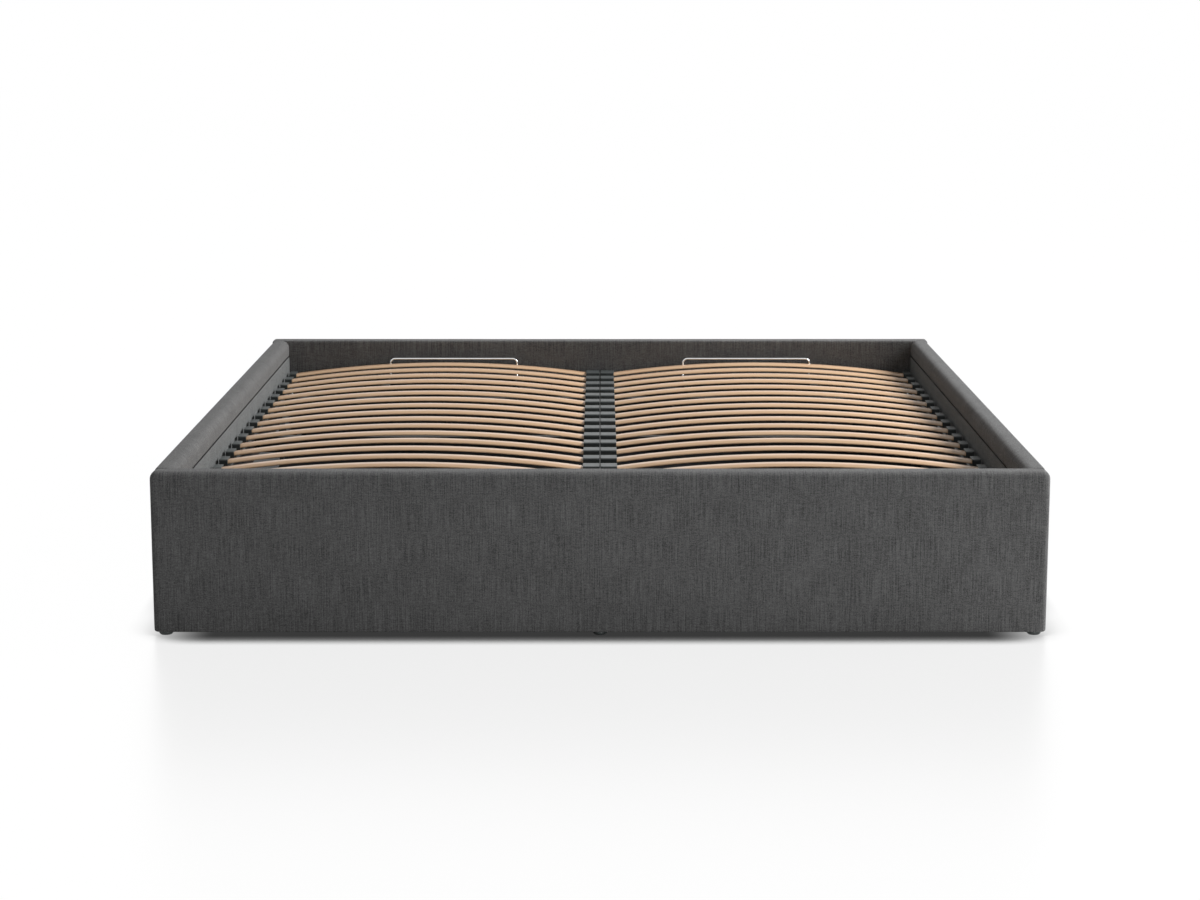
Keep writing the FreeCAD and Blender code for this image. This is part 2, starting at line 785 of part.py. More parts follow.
def tube_cap(name, end):
    face = (f"{TUBE_END}", f"{TUBE_END} + cap_thickness")
    plug = (f"{TUBE_END} - cap_plug", f"{TUBE_END}")
    if end < 0:
        face = (f"-({face[1]})", f"-({face[0]})")
        plug = (f"-({plug[1]})", f"-({plug[0]})")
    plate = block(
        name + "_plate", (TUBE_IN, face[0], TUBE_BOTTOM), (TUBE_OUT, face[1], "platform_height"))
    stub = block(
        name + "_stub",
        (f"{TUBE_IN} + tube_wall", plug[0], f"{TUBE_BOTTOM} + tube_wall"),
        (f"{TUBE_OUT} - tube_wall", plug[1], "platform_height - tube_wall"),
    )
    return fused(name, [plate, stub])


keep("tube_caps", both_sides("tube_caps", group("tube_caps_right", [
    tube_cap("foot_cap", -1), tube_cap("head_cap", 1)])))


# Sprung slats and their holders

SLAT_IN = "(centre_holder_gap / 2)"
SLAT_OUT = f"({TUBE_OUT} - side_holder_length + slat_insert)"
SLAT_HALF = f"(({SLAT_OUT} - {SLAT_IN}) / 2)"
SLAT_TOP_RADIUS = f"(({SLAT_HALF} ^ 2 + slat_rise ^ 2) / (2 * slat_rise))"
SLAT_LOW_RADIUS = f"({SLAT_TOP_RADIUS} - slat_thickness)"
SLAT_CENTRE = (
    f"(({SLAT_OUT} + {SLAT_IN}) / 2)",
    f"(platform_height + slat_seat + slat_thickness + slat_rise - {SLAT_TOP_RADIUS})",
)


def slats():
    body = new_body("slats_right")
    bow = new_sketch(body, "XZ_Plane", "slat_bow")
    draw_bow(bow, (SLAT_IN, SLAT_OUT), SLAT_CENTRE, SLAT_TOP_RADIUS, SLAT_LOW_RADIUS)
    pad(body, bow, "slat_width", middle=True)
    rows(body)
    return body


def holders(name, ends, mouth, cut_from, cut_to):
    """Moulded sleeves on the frame: a level roof over a slot that the slat slides into at the mouth."""
    body = new_body(name)
    block_outline = new_sketch(body, "XZ_Plane", name + "_outline")
    slot_rise = f"sqrt(({SLAT_TOP_RADIUS} + slat_clearance) ^ 2 - ({mouth} - {SLAT_CENTRE[0]}) ^ 2)"
    roof = f"({SLAT_CENTRE[1]} + {slot_rise} + holder_wall)"
    draw_polygon(block_outline, rectangle((ends[0], "platform_height"), (ends[1], roof)))
    pad(body, block_outline, "holder_depth", middle=True)
    slot = new_sketch(body, "XZ_Plane", name + "_slot")
    draw_bow(
        slot, (cut_from, cut_to), SLAT_CENTRE,
        f"({SLAT_TOP_RADIUS} + slat_clearance)", f"({SLAT_LOW_RADIUS} - slat_clearance)",
    )
    pocket(body, slot, "slat_width + 2 * slat_clearance", middle=True)
    half_depth = worth("holder_depth / 2")
    roof_height = worth("platform_height + slat_seat + slat_thickness")

    def roof_edge(edge):
        middle = centre_of(edge)
        return abs(abs(middle.y) - half_depth) < worth("slat_clearance") and middle.z > roof_height \
            and abs(edge.BoundBox.XLength) > worth("holder_depth / 4")

    dress(body, "Chamfer", "holder_chamfer", roof_edge)
    rows(body)
    return body


SIDE_MOUTH = f"({TUBE_OUT} - side_holder_length)"
CENTRE_MOUTH = f"({SLAT_IN} + centre_holder_length)"
keep_pair("slats", slats())
keep_pair("side_slat_holders", holders(
    "side_slat_holders_right", (SIDE_MOUTH, TUBE_OUT), SIDE_MOUTH,
    f"({SIDE_MOUTH} - overrun)", f"({SLAT_OUT} + slat_clearance)",
))
keep_pair("centre_slat_holders", holders(
    "centre_slat_holders_right", (SLAT_IN, CENTRE_MOUTH), CENTRE_MOUTH,
    f"({SLAT_IN} - slat_clearance)", f"({CENTRE_MOUTH} + overrun)",
))


# Fixed hinge plates on the side rails

def hinge_plate():
    body = new_body("hinge_plate_form")
    low = f"({BASE_PIN_Z} - plate_margin)"
    high = f"({PIVOT_Z} + plate_margin)"
    shoulder = f"({PIVOT_Z} - plate_half_width)"
    outline = new_sketch(body, "YZ_Plane", "plate_outline", PLATE_IN)
    draw_polygon(outline, [
        (f"{PIVOT_Y} - plate_half_width", low),
        (f"{PIVOT_Y} + plate_half_width", low),
        (f"{PIVOT_Y} + plate_half_width", shoulder),
        (f"{PIVOT_Y} + plate_margin", high),
        (f"{PIVOT_Y} - plate_margin", high),
        (f"{PIVOT_Y} - plate_half_width", shoulder),
    ])
    pad(body, outline, "plate_thickness")
    dress(body, "Fillet", "plate_radius", along("x"))
    return body


def plate_hole(name, forward, height, radius):
    return rod(name, (INNER_X, forward, height), "-X", radius, "plate_thickness")


plate_holes = group("plate_holes", plate_shanks + [
    plate_hole("pivot_seat", PIVOT_Y, PIVOT_Z, "pivot_pin_radius"),
    plate_hole("base_pin_seat", BASE_PIN_Y, BASE_PIN_Z, "strut_pin_radius"),
])
keep_pair("hinge_plate", cut("hinge_plate_right", hinge_plate(), plate_holes))
keep("hinge_plate_bolts", both_sides("hinge_plate_bolts", group("plate_bolts_right", plate_bolts)))


# Pins: each is turned, seated in its plate and points in from the rail

def pin(name, start, outline):
    body = new_body(name)
    turned(body, outline, name + "_section")
    body.Placement = FreeCAD.Placement(FreeCAD.Vector(), TURNS["-X"])
    return tie(body, base_x=start[0], base_y=start[1], base_z=start[2])


def pivot_pin():
    """The lift pivot: riveted to the fixed plate, with a head inside the side tube."""
    under_head = f"({INNER_X} - {TUBE_IN} + pin_play)"
    return pin("pivot_pin", (INNER_X, PIVOT_Y, PIVOT_Z), [
        ("0", "0"),
        ("pivot_pin_radius", "0"),
        ("pivot_pin_radius", under_head),
        ("pin_head_radius", under_head),
        ("pin_head_radius", f"{under_head} + pin_head_height"),
        ("0", f"{under_head} + pin_head_height"),
    ])


def strut_pin(name, outer, seat, forward, height):
    """A shouldered pin that a strut eye turns on, between the shoulder and a head."""
    shoulder = f"({outer} - {STRUT_X} - eye_width / 2 - pin_play)"
    under_head = f"({outer} - {STRUT_X} + eye_width / 2 + pin_play)"
    return pin(name, (outer, forward, height), [
        ("0", "0"),
        ("strut_pin_radius", "0"),
        ("strut_pin_radius", seat),
        ("pin_collar_radius", seat),
        ("pin_collar_radius", shoulder),
        ("strut_pin_radius", shoulder),
        ("strut_pin_radius", under_head),
        ("bolt_head_radius", under_head),
        ("bolt_head_radius", f"{under_head} + pin_head_height"),
        ("0", f"{under_head} + pin_head_height"),
    ])


base_pin = strut_pin("base_pin", INNER_X, "plate_thickness", BASE_PIN_Y, BASE_PIN_Z)
rod_pin = strut_pin("rod_pin", ARM_OUT, "arm_thickness", ROD_PIN_Y, ROD_PIN_Z)
keep("pivot_pins", both_sides("pivot_pins", pivot_pin()))
keep("strut_base_pins", both_sides("strut_base_pins", base_pin))
keep("strut_rod_pins", both_sides("strut_rod_pins", rod_pin))


# Gas struts: drawn upright from the base pin, then leaned to their closed angle

CYLINDER_END = "(cylinder_start + cylinder_length)"
BORE = "(cylinder_radius - cylinder_wall)"
ROD_START = "(cylinder_start + cylinder_base + piston_play)"
SOCKET = f"({STRUT_LENGTH} - eye_socket)"


def lean(body):
    body.Placement = FreeCAD.Placement(FreeCAD.Vector(), TURNS["-Y"])
    tie(body, turn="strut_pin_dip + strut_rest_angle / 2")
    return tie(body, base_x=STRUT_X, base_y=BASE_PIN_Y, base_z=BASE_PIN_Z)


def add_eye(body, name, height):
    """A ring across the strut's end, bored for its pin."""
    ring = new_sketch(body, "YZ_Plane", name + "_ring")
    draw_circle(ring, "0", height, "eye_radius")
    pad(body, ring, "eye_width", middle=True)
    bore = new_sketch(body, "YZ_Plane", name + "_bore")
    draw_circle(bore, "0", height, "strut_pin_radius + running_clearance")
    pocket(body, bore, "eye_width + overrun", middle=True)


def strut_cylinder():
    body = new_body("strut_cylinder_right")
    turned(body, [
        ("0", "0"),
        ("eye_neck_radius", "0"),
        ("eye_neck_radius", "cylinder_start"),
        ("cylinder_radius", "cylinder_start"),
        ("cylinder_radius", CYLINDER_END),
        (BORE, CYLINDER_END),
        (BORE, "cylinder_start + cylinder_base"),
        ("0", "cylinder_start + cylinder_base"),
    ], "cylinder_section")
    add_eye(body, "base_eye", "0")
    return lean(body)


def strut_guide():
    body = new_body("strut_guide_right")
    inner = "rod_radius + running_clearance"
    turned(body, [
        (inner, f"{CYLINDER_END} - guide_length"),
        (BORE, f"{CYLINDER_END} - guide_length"),
        (BORE, CYLINDER_END),
        ("cylinder_radius", CYLINDER_END),
        ("cylinder_radius", f"{CYLINDER_END} + cylinder_wall"),
        (inner, f"{CYLINDER_END} + cylinder_wall"),
    ], "guide_section")
    return lean(body)


def strut_rod():
    body = new_body("strut_rod_right")
    piston = f"({BORE} - running_clearance)"
    turned(body, [
        ("0", ROD_START),
        (piston, ROD_START),
        (piston, f"{ROD_START} + piston_length"),
        ("rod_radius", f"{ROD_START} + piston_length"),
        ("rod_radius", f"{SOCKET} + rod_thread"),
        ("0", f"{SOCKET} + rod_thread"),
    ], "rod_section")
    return lean(body)


def strut_rod_eye():
    body = new_body("strut_rod_eye_right")
    turned(body, [
        ("rod_radius", SOCKET),
        ("eye_neck_radius", SOCKET),
        ("eye_neck_radius", STRUT_LENGTH),
        ("0", STRUT_LENGTH),
        ("0", f"{SOCKET} + rod_thread"),
        ("rod_radius", f"{SOCKET} + rod_thread"),
    ], "rod_eye_section")
    add_eye(body, "rod_eye", STRUT_LENGTH)
    return lean(body)


keep_pair("strut_cylinder", strut_cylinder())
keep_pair("strut_guide", strut_guide())
keep_pair("strut_rod", strut_rod())
keep_pair("strut_rod_eye", strut_rod_eye())


# Mattress retainers: one bent wire each, whose feet are clamped to the head cross tube

def rounded_path(corners, radius):
    """Straight runs joined by tangent arcs of one radius."""
    edges = []
    start = corners[0]
    for before, corner, after in zip(corners, corners[1:], corners[2:]):
        back = (before - corner).normalize()
        ahead = (after - corner).normalize()
        half_turn = back.getAngle(ahead) / 2
        set_back = radius / math.tan(half_turn)
        inward = (back + ahead).normalize() * (radius / math.sin(half_turn) - radius)
        bend_start = corner + back * set_back
        bend_end = corner + ahead * set_back
        edges.append(Part.LineSegment(start, bend_start).toShape())
        edges.append(Part.Arc(bend_start, corner + inward, bend_end).toShape())
        start = bend_end
    edges.append(Part.LineSegment(start, corners[-1]).toShape())
    return Part.Wire(edges)


LEG_Y = f"({INNER_Y} - retainer_setback)"
FOOT_Z = "(platform_height + retainer_wire_radius)"
LEGS_X = ("(retainer_centre - retainer_width / 2)", "(retainer_centre + retainer_width / 2)")


def mattress_retainer():
    """Foot, leg, bar, leg and foot in one wire, swept along its bent path."""
    near, far = [worth(place) for place in LEGS_X]
    foot, leg = worth(FOOT_Y), worth(LEG_Y)
    low = worth(FOOT_Z)
    high = low + worth("retainer_height")
    corners = [
        FreeCAD.Vector(near, foot, low),
        FreeCAD.Vector(near, leg, low),
        FreeCAD.Vector(near, leg, high),
        FreeCAD.Vector(far, leg, high),
        FreeCAD.Vector(far, leg, low),
        FreeCAD.Vector(far, foot, low),
    ]
    path = rounded_path(corners, worth("retainer_bend"))
    radius = worth("retainer_wire_radius")
    section = Part.Wire([Part.makeCircle(radius, corners[0], FreeCAD.Vector(0, 1, 0))])
    piece = doc.addObject("Part::Feature", "mattress_retainer_right")
    piece.Shape = path.makePipeShell([section], True, False)
    share = piece.Shape.Volume / (math.pi * radius ** 2 * path.Length)
    print("retainer volume against section times length: %.4f" % share)
    return piece


def retainer_clamp(name, across):
    """A saddle over one foot of a retainer."""
    body = new_body(name)
    wire_top = "(platform_height + 2 * retainer_wire_radius)"
    roof = f"({wire_top} + clamp_roof)"
    outline = new_sketch(body, "XZ_Plane", name + "_outline")
    draw_polygon(outline, [
        ("-clamp_width / 2", "platform_height"),
        ("-retainer_wire_radius", "platform_height"),
        ("-retainer_wire_radius", wire_top),
        ("retainer_wire_radius", wire_top),
        ("retainer_wire_radius", "platform_height"),
        ("clamp_width / 2", "platform_height"),
        ("clamp_width / 2", roof),
        ("-clamp_width / 2", roof),
    ])
    pad(body, outline, "clamp_length", middle=True)
    upright = along("y")
    middle_height = worth(f"{wire_top} + clamp_roof / 2")
    dress(body, "Fillet", "clamp_roof", lambda e: upright(e) and centre_of(e).z > middle_height)
    return tie(body, base_x=across, base_y=f"{FOOT_Y} + tube_width / 2")


clamps = [retainer_clamp(f"clamp_{number}", place) for number, place in enumerate(LEGS_X, start=1)]
keep_pair("mattress_retainer", mattress_retainer())
keep("retainer_clamps", both_sides("retainer_clamps", group("clamps_right", clamps)))


# Pull strap: a webbing loop riveted to the top of the foot tube

STRAP_Y = f"(-({TUBE_END} - tube_width / 2))"
STRAP_HALF = "(strap_span / 2)"
STRAP_TOP = "(platform_height + strap_thickness)"
STRAP_RADIUS = f"(({STRAP_HALF} ^ 2 + strap_rise ^ 2) / (2 * strap_rise))"

strap_bow = new_body("strap_bow")
strap_outline = new_sketch(strap_bow, "XZ_Plane", "strap_outline")
draw_bow(
    strap_outline, (f"-{STRAP_HALF}", STRAP_HALF),
    ("0", f"(platform_height + strap_rise - {STRAP_RADIUS})"),
    f"({STRAP_RADIUS} + strap_thickness)", STRAP_RADIUS,
)
pad(strap_bow, strap_outline, "strap_width", middle=True)
tie(strap_bow, base_y=STRAP_Y)
strap_tab = block(
    "strap_tab",
    (STRAP_HALF, f"{STRAP_Y} - strap_width / 2", "platform_height"),
    (f"{STRAP_HALF} + strap_tab", f"{STRAP_Y} + strap_width / 2", STRAP_TOP),
)
strap_form = fused("strap_form", [strap_bow, strap_tab, mirrored("strap_tab_left", strap_tab)])
rivet_place = (f"{STRAP_HALF} + strap_tab / 2", STRAP_Y, STRAP_TOP)
rivet_shanks, rivets = bolt_set("strap_rivet", [rivet_place], "-Z", "tube_wall", "strap_thickness")
rivet_holes = both_sides("rivet_holes", rivet_shanks[0])
keep("pull_strap", cut("pull_strap", strap_form, rivet_holes))
keep("strap_rivets", both_sides("strap_rivets", rivets[0]))
keep("platform_front_tube", cut("platform_front_tube", front_tube, rivet_holes))


# Test every object, then write one file for each piece

doc.recompute()
for item in doc.Objects:
    if {"Invalid", "Error"} & set(item.State):
        raise RuntimeError("%s failed: %s" % (item.Label, item.State))
for piece in NODES:
    if piece.Shape.isNull() or not piece.Shape.isValid():
        raise RuntimeError(piece.Label + " has no valid shape")

os.makedirs("parts", exist_ok=True)
for piece in NODES:
    piece.Shape.exportStep("parts/%s.step" % piece.Label)
print(len(NODES), "pieces,", sum(len(piece.Shape.Solids) for piece in NODES), "solids")
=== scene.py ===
# %% [markdown]
# # An upholstered storage bed, dressed in Blender
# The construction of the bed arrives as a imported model: every board, tube, hinge plate and
# strut is already in its place, in metres, with the floor at zero. This file gives it
# its looks. Each lesson says what a piece or finish is on the real bed, how it could
# be made, and why this way was chosen.

# %% Load the construction
import bpy
import math
from mathutils import Matrix, Vector


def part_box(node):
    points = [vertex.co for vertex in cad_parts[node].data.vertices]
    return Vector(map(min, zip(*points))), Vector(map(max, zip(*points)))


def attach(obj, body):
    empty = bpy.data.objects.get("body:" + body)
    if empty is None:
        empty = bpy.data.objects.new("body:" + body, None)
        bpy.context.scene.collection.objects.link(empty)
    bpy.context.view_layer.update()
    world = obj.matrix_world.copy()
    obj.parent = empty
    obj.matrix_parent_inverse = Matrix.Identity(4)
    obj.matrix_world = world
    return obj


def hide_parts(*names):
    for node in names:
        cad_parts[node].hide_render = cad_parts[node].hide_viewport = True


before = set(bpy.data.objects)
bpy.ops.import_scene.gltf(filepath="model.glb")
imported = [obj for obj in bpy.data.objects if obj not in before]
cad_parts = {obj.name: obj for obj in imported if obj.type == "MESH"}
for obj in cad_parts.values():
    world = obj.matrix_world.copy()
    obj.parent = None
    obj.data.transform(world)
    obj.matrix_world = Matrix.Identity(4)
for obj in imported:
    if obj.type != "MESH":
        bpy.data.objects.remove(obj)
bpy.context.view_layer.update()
MM = 0.001

# %% [markdown]
# ## The camera
# The photograph looks at the foot of the bed from the middle, a little from above, with a
# long lens: the upright edges stay almost upright and the sides draw in gently towards the head.
# Place, tilt and lens were fitted to the corners of the surround and the rows of slats.

# %% Camera
CAMERA_PLACE = (0, -6.283, 1.344)
CAMERA_TILT = 10.198
CAMERA_LENS = 76.10
CAMERA_SENSOR = 36

bpy.ops.object.camera_add(location=CAMERA_PLACE, rotation=(math.radians(90 - CAMERA_TILT), 0, 0))
camera = bpy.context.object
camera.name = "foot_camera"
camera.data.lens = CAMERA_LENS
camera.data.sensor_width = CAMERA_SENSOR
bpy.context.scene.camera = camera
bpy.context.scene.view_settings.view_transform = "Standard"
print("camera", CAMERA_PLACE, "lens", CAMERA_LENS)

# %% [markdown]
# ## Nodes and colours
# Every finish below is a small network of shader nodes. Four helpers keep them readable: one turns an sRGB
# hex colour into the linear numbers that the shader wants, one adds a node with its settings and links in a
# single call, one starts a material, and one adds up layers of noise, each shifted so that no two layers
# look alike.

# %% Helpers for finishes
# Sockets of a Mix node for its two colours and the mixed one
COLOUR_A, COLOUR_B, MIXED = 6, 7, 2
# Most of a noise pattern lies between the low and the high value
NOISE_LOW, NOISE_MIDDLE, NOISE_HIGH = 0.3, 0.5, 0.7
LAYER_ROUGHNESS = 0.6
LAYER_SHIFT = 2.37


def srgb(code):
    """Linear colour of an sRGB hex value."""
    parts = [int(code[place:place + 2], 16) / 255 for place in (1, 3, 5)]
    return [p / 12.92 if p <= 0.04045 else ((p + 0.055) / 1.055) ** 2.4 for p in parts] + [1]


def add_node(tree, kind, inputs=(), **settings):
    """Add a shader node, set its options, then fill or link its sockets."""
    node = tree.nodes.new("ShaderNode" + kind)
    for name, value in settings.items():
        setattr(node, name, value)
    for socket, value in dict(inputs).items():
        if isinstance(value, bpy.types.NodeSocket):
            tree.links.new(value, node.inputs[socket])
        else:
            node.inputs[socket].default_value = value
    return node


def new_finish(name, **plain):
    """A material whose shader has these plain values; returns it with its tree and shader."""
    finish = bpy.data.materials.new(name)
    finish.use_nodes = True
    shader = finish.node_tree.nodes["Principled BSDF"]
    for socket, value in plain.items():
        shader.inputs[socket.replace("_", " ")].default_value = value
    return finish, finish.node_tree, shader


def layered(tree, coordinates, layers):
    """Noise patterns added up around 0.5, each with its cells per metre, weight and detail.

    Returns the sum and the single patterns.
    """
    total, patterns = NOISE_MIDDLE, []
    for number, (cells, weight, detail) in enumerate(layers):
        place = add_node(tree, "Mapping", {
            "Vector": coordinates, "Scale": cells, "Location": [LAYER_SHIFT * number] * 3})
        noise = add_node(tree, "TexNoise", {
            "Vector": place.outputs[0], "Scale": 1, "Detail": detail,
            "Roughness": LAYER_ROUGHNESS}).outputs[0]
        centred = add_node(tree, "Math", {0: noise, 1: NOISE_MIDDLE}, operation="SUBTRACT").outputs[0]
        total = add_node(tree, "Math", {0: centred, 1: weight, 2: total},
                         operation="MULTIPLY_ADD").outputs[0]
        patterns.append(noise)
    return total, patterns


# %% [markdown]
# ## Upholstery cloth
# The cover is a linen-look polyester in charcoal. Its yarns are uneven: thick stretches, the
# slubs, show as fine upright streaks and shorter level dashes in a slightly lighter grey,
# over slow cloudy patches. Real yarns lie about 0.8 mm apart, which is finer than a pixel at
# this distance, so the weave is drawn at 2 mm and the slubs at their real length. The cloth
# reads a UV map in metres, so that the yarns run along and around each panel. A little
# sheen stands for the fine hairs that lighten cloth seen along its surface.

# %% Cloth finish
YARN_MM = 2.0
YARN_RELIEF_MM = 0.4
# Length of one wave of a wave texture at scale 1
WAVE_PERIOD_MM = 1000 * 2 * math.pi / 20
# Cells per metre across and along the yarns, then weight and detail
CLOTH_LAYERS = (
    ((470, 13, 1), 1.5, 2),
    ((85, 470, 1), 0.9, 2),
    ((470, 470, 1), 1.5, 1),
    ((14, 9, 1), 0.4, 3),
)


def linen(name, dark, light):
    finish, tree, shader = new_finish(
        name, Roughness=0.88, Specular_IOR_Level=0.18, Sheen_Weight=0.12, Sheen_Roughness=0.45)
    cloth = add_node(tree, "UVMap", uv_map="cloth").outputs[0]
    tone, (warp, weft, *_) = layered(tree, cloth, CLOTH_LAYERS)
    colour = add_node(tree, "Mix", {"Factor": tone, COLOUR_A: srgb(dark), COLOUR_B: srgb(light)},
                      data_type="RGBA")
    tree.links.new(colour.outputs[MIXED], shader.inputs["Base Color"])
    threads = [
        add_node(tree, "TexWave", {"Vector": cloth, "Scale": WAVE_PERIOD_MM / YARN_MM, "Distortion": 0.6,
                                   "Detail": 1, "Detail Scale": 2},
                 bands_direction=way, wave_type="BANDS").outputs["Fac"]
        for way in ("X", "Y")
    ]
    weave = add_node(tree, "Math", {0: threads[0], 1: threads[1]}, operation="MAXIMUM").outputs[0]
    slubs = add_node(tree, "Math", {0: warp, 1: weft}, operation="MAXIMUM").outputs[0]
    relief = add_node(tree, "Math", {0: weave, 1: slubs}, operation="ADD").outputs[0]
    bump = add_node(tree, "Bump", {"Height": relief, "Distance": YARN_RELIEF_MM * MM, "Strength": 0.6})
    tree.links.new(bump.outputs[0], shader.inputs["Normal"])
    return finish


charcoal_linen = linen("charcoal_linen_polyester", "#474747", "#7d7d7d")
lining_linen = linen("charcoal_lining_polyester", "#4d4f4f", "#7e8080")

# %% [markdown]
# ## Bent beech
# Sprung slats are glued from thin beech veneers in a bent mould. The broad faces show pale pinkish wood
# with short dark flecks along the grain; the sawn edges are browner and show the veneers as fine lines.
# Their tan is partly painted light: it is made lighter to stand for light on the edges that face the foot.
# The faces have a thin clear coat, so they shine softly.
# The pattern reads Object coordinates drawn out along X, the way of the grain, and an
# attribute with the depth through the thickness draws the veneers on the edges.

# %% Beech finish
VENEER_MM = 1.6
FIBRE_RELIEF_MM = 0.08
# Streaks of the grain, differences between slats, and flecks
BEECH_LAYERS = (
    ((5, 260, 260), 0.9, 4),
    ((1.3, 9.5, 0), 0.8, 1),
    ((55, 900, 900), 0.35, 2),
)


def bent_beech():
    finish, tree, shader = new_finish("bent_beech_veneers", Coat_Weight=0.7, Coat_Roughness=0.22)
    wood = add_node(tree, "TexCoord").outputs["Object"]
    tone, (grain, _, flecks) = layered(tree, wood, BEECH_LAYERS)
    face = add_node(tree, "Mix", {"Factor": tone, COLOUR_A: srgb("#be956f"), COLOUR_B: srgb("#e8c5a6")},
                    data_type="RGBA")
    depth = add_node(tree, "Attribute", attribute_name="veneer_depth").outputs["Fac"]
    layer = add_node(tree, "Math", {0: depth, 1: math.pi / (VENEER_MM * MM)},
                     operation="MULTIPLY").outputs[0]
    line = add_node(tree, "Math", {0: layer}, operation="SINE").outputs[0]
    veneers = add_node(tree, "MapRange", {
        "Value": line, "From Min": -1, "From Max": 1, "To Min": 0.1, "To Max": 0.75}).outputs[0]
    # Painted light: the sawn edges' tan is made lighter, standing for light on the edges that face the
    # foot.
    sawn_and_painted_light = add_node(tree, "Mix", {"Factor": veneers, COLOUR_A: srgb("#cda57c"), COLOUR_B: srgb("#e2bd95")},
                    data_type="RGBA")
    edge = add_node(tree, "Attribute", attribute_name="sawn_edge").outputs["Fac"]
    colour = add_node(tree, "Mix", {
        "Factor": edge, COLOUR_A: face.outputs[MIXED], COLOUR_B: sawn_and_painted_light.outputs[MIXED]}, data_type="RGBA")
    tree.links.new(colour.outputs[MIXED], shader.inputs["Base Color"])
    rough = add_node(tree, "MapRange", {
        "Value": grain, "From Min": NOISE_LOW, "From Max": NOISE_HIGH,
        "To Min": 0.36, "To Max": 0.55}).outputs[0]
    tree.links.new(rough, shader.inputs["Roughness"])
    fibres = add_node(tree, "Math", {0: grain, 1: flecks}, operation="ADD").outputs[0]
    bump = add_node(tree, "Bump", {"Height": fibres, "Distance": FIBRE_RELIEF_MM * MM, "Strength": 0.4})
    tree.links.new(bump.outputs[0], shader.inputs["Normal"])
    return finish


beech = bent_beech()

# %% [markdown]
# ## Plastic, steel and board
# The slat holders, caps and glides are moulded nylon: dark grey with a fine grain from the
# mould that spreads the highlights. The platform is powder-coated steel, slightly uneven
# like the skin of an orange. Bolts and pins are zinc plated, wires are bright drawn steel.
# Inside stand chipboard, pine battens and ledges and a hardboard floor; the pine and the floor are near
# black as painted shade, so that the room below the slats reads dark. Each finish takes its pattern from
# Object coordinates, with sizes in millimetres.

# %% Finishes of the construction
# Cells per metre along the wood, fibres to a year ring and how deep they lie
RING_CELLS_ALONG = 1.5
FIBRE_CELLS_ALONG = 12
FIBRES_PER_RING = 4
PINE_RELIEF_MM = 0.2


def speckled(name, dark, light, grain_mm, depth_mm, roughness, patch_mm=50, **plain):
    """A surface with a fine grain, slow patches and a roughness that follows them."""
    finish, tree, shader = new_finish(name, **plain)
    place = add_node(tree, "TexCoord").outputs["Object"]
    grain_cells = [1 / (grain_mm * MM)] * 3
    patch_cells = [1 / (patch_mm * MM)] * 3
    tone, (fine, patch) = layered(tree, place, ((grain_cells, 0.7, 2), (patch_cells, 0.9, 3)))
    colour = add_node(tree, "Mix", {"Factor": tone, COLOUR_A: srgb(dark), COLOUR_B: srgb(light)},
                      data_type="RGBA")
    tree.links.new(colour.outputs[MIXED], shader.inputs["Base Color"])
    rough = add_node(tree, "MapRange", {
        "Value": patch, "From Min": NOISE_LOW, "From Max": NOISE_HIGH,
        "To Min": roughness[0], "To Max": roughness[1]}).outputs[0]
    tree.links.new(rough, shader.inputs["Roughness"])
    bump = add_node(tree, "Bump", {"Height": fine, "Distance": depth_mm * MM, "Strength": 0.5})
    tree.links.new(bump.outputs[0], shader.inputs["Normal"])
    return finish


def sawn_wood(name, dark, light, along, ring_mm):
    """Planed softwood: year rings drawn out along one axis, with finer fibres between."""
    finish, tree, shader = new_finish(name, Roughness=0.62, Specular_IOR_Level=0.3)
    place = add_node(tree, "TexCoord").outputs["Object"]
    cells = 1 / (ring_mm * MM)
    rings = [RING_CELLS_ALONG if axis == along else cells for axis in "XYZ"]
    fibres = [FIBRE_CELLS_ALONG if axis == along else FIBRES_PER_RING * cells for axis in "XYZ"]
    tone, (_, fibre) = layered(tree, place, ((rings, 1.3, 2), (fibres, 0.5, 3)))
    colour = add_node(tree, "Mix", {"Factor": tone, COLOUR_A: srgb(dark), COLOUR_B: srgb(light)},
                      data_type="RGBA")
    tree.links.new(colour.outputs[MIXED], shader.inputs["Base Color"])
    bump = add_node(tree, "Bump", {"Height": fibre, "Distance": PINE_RELIEF_MM * MM, "Strength": 0.4})
    tree.links.new(bump.outputs[0], shader.inputs["Normal"])
    return finish


dark_nylon = speckled("moulded_dark_nylon", "#383c3c", "#4f5454", 0.8, 0.08, (0.34, 0.46),
                      Specular_IOR_Level=0.4)
black_powder = speckled("black_powder_coated_steel", "#161717", "#252626", 1.4, 0.1, (0.35, 0.5))
zinc_plate = speckled("zinc_plated_steel", "#a2a5a6", "#c9cbca", 2, 0.03, (0.22, 0.38), Metallic=1)
bright_steel = speckled("bright_drawn_steel", "#c9cbcc", "#e6e7e7", 2.5, 0.02, (0.12, 0.2), Metallic=1)
chipboard = speckled("raw_chipboard", "#a98a63", "#d3b88f", 2.9, 0.3, (0.7, 0.85), patch_mm=6.7)
# Painted shade: the hardboard floor and the pine below it get a near-black colour that stands for the shade
# under the slats.
hardboard = speckled("hardboard_floor_painted_shade", "#161617", "#222223", 2, 0.1, (0.6, 0.75),
                     Specular_IOR_Level=0.1)
pine_lengthwise = sawn_wood("pine_painted_shade_lengthwise", "#2b2521", "#4a4039", "Y", 9)
pine_crosswise = sawn_wood("pine_painted_shade_crosswise", "#2b2521", "#4a4039", "X", 9)

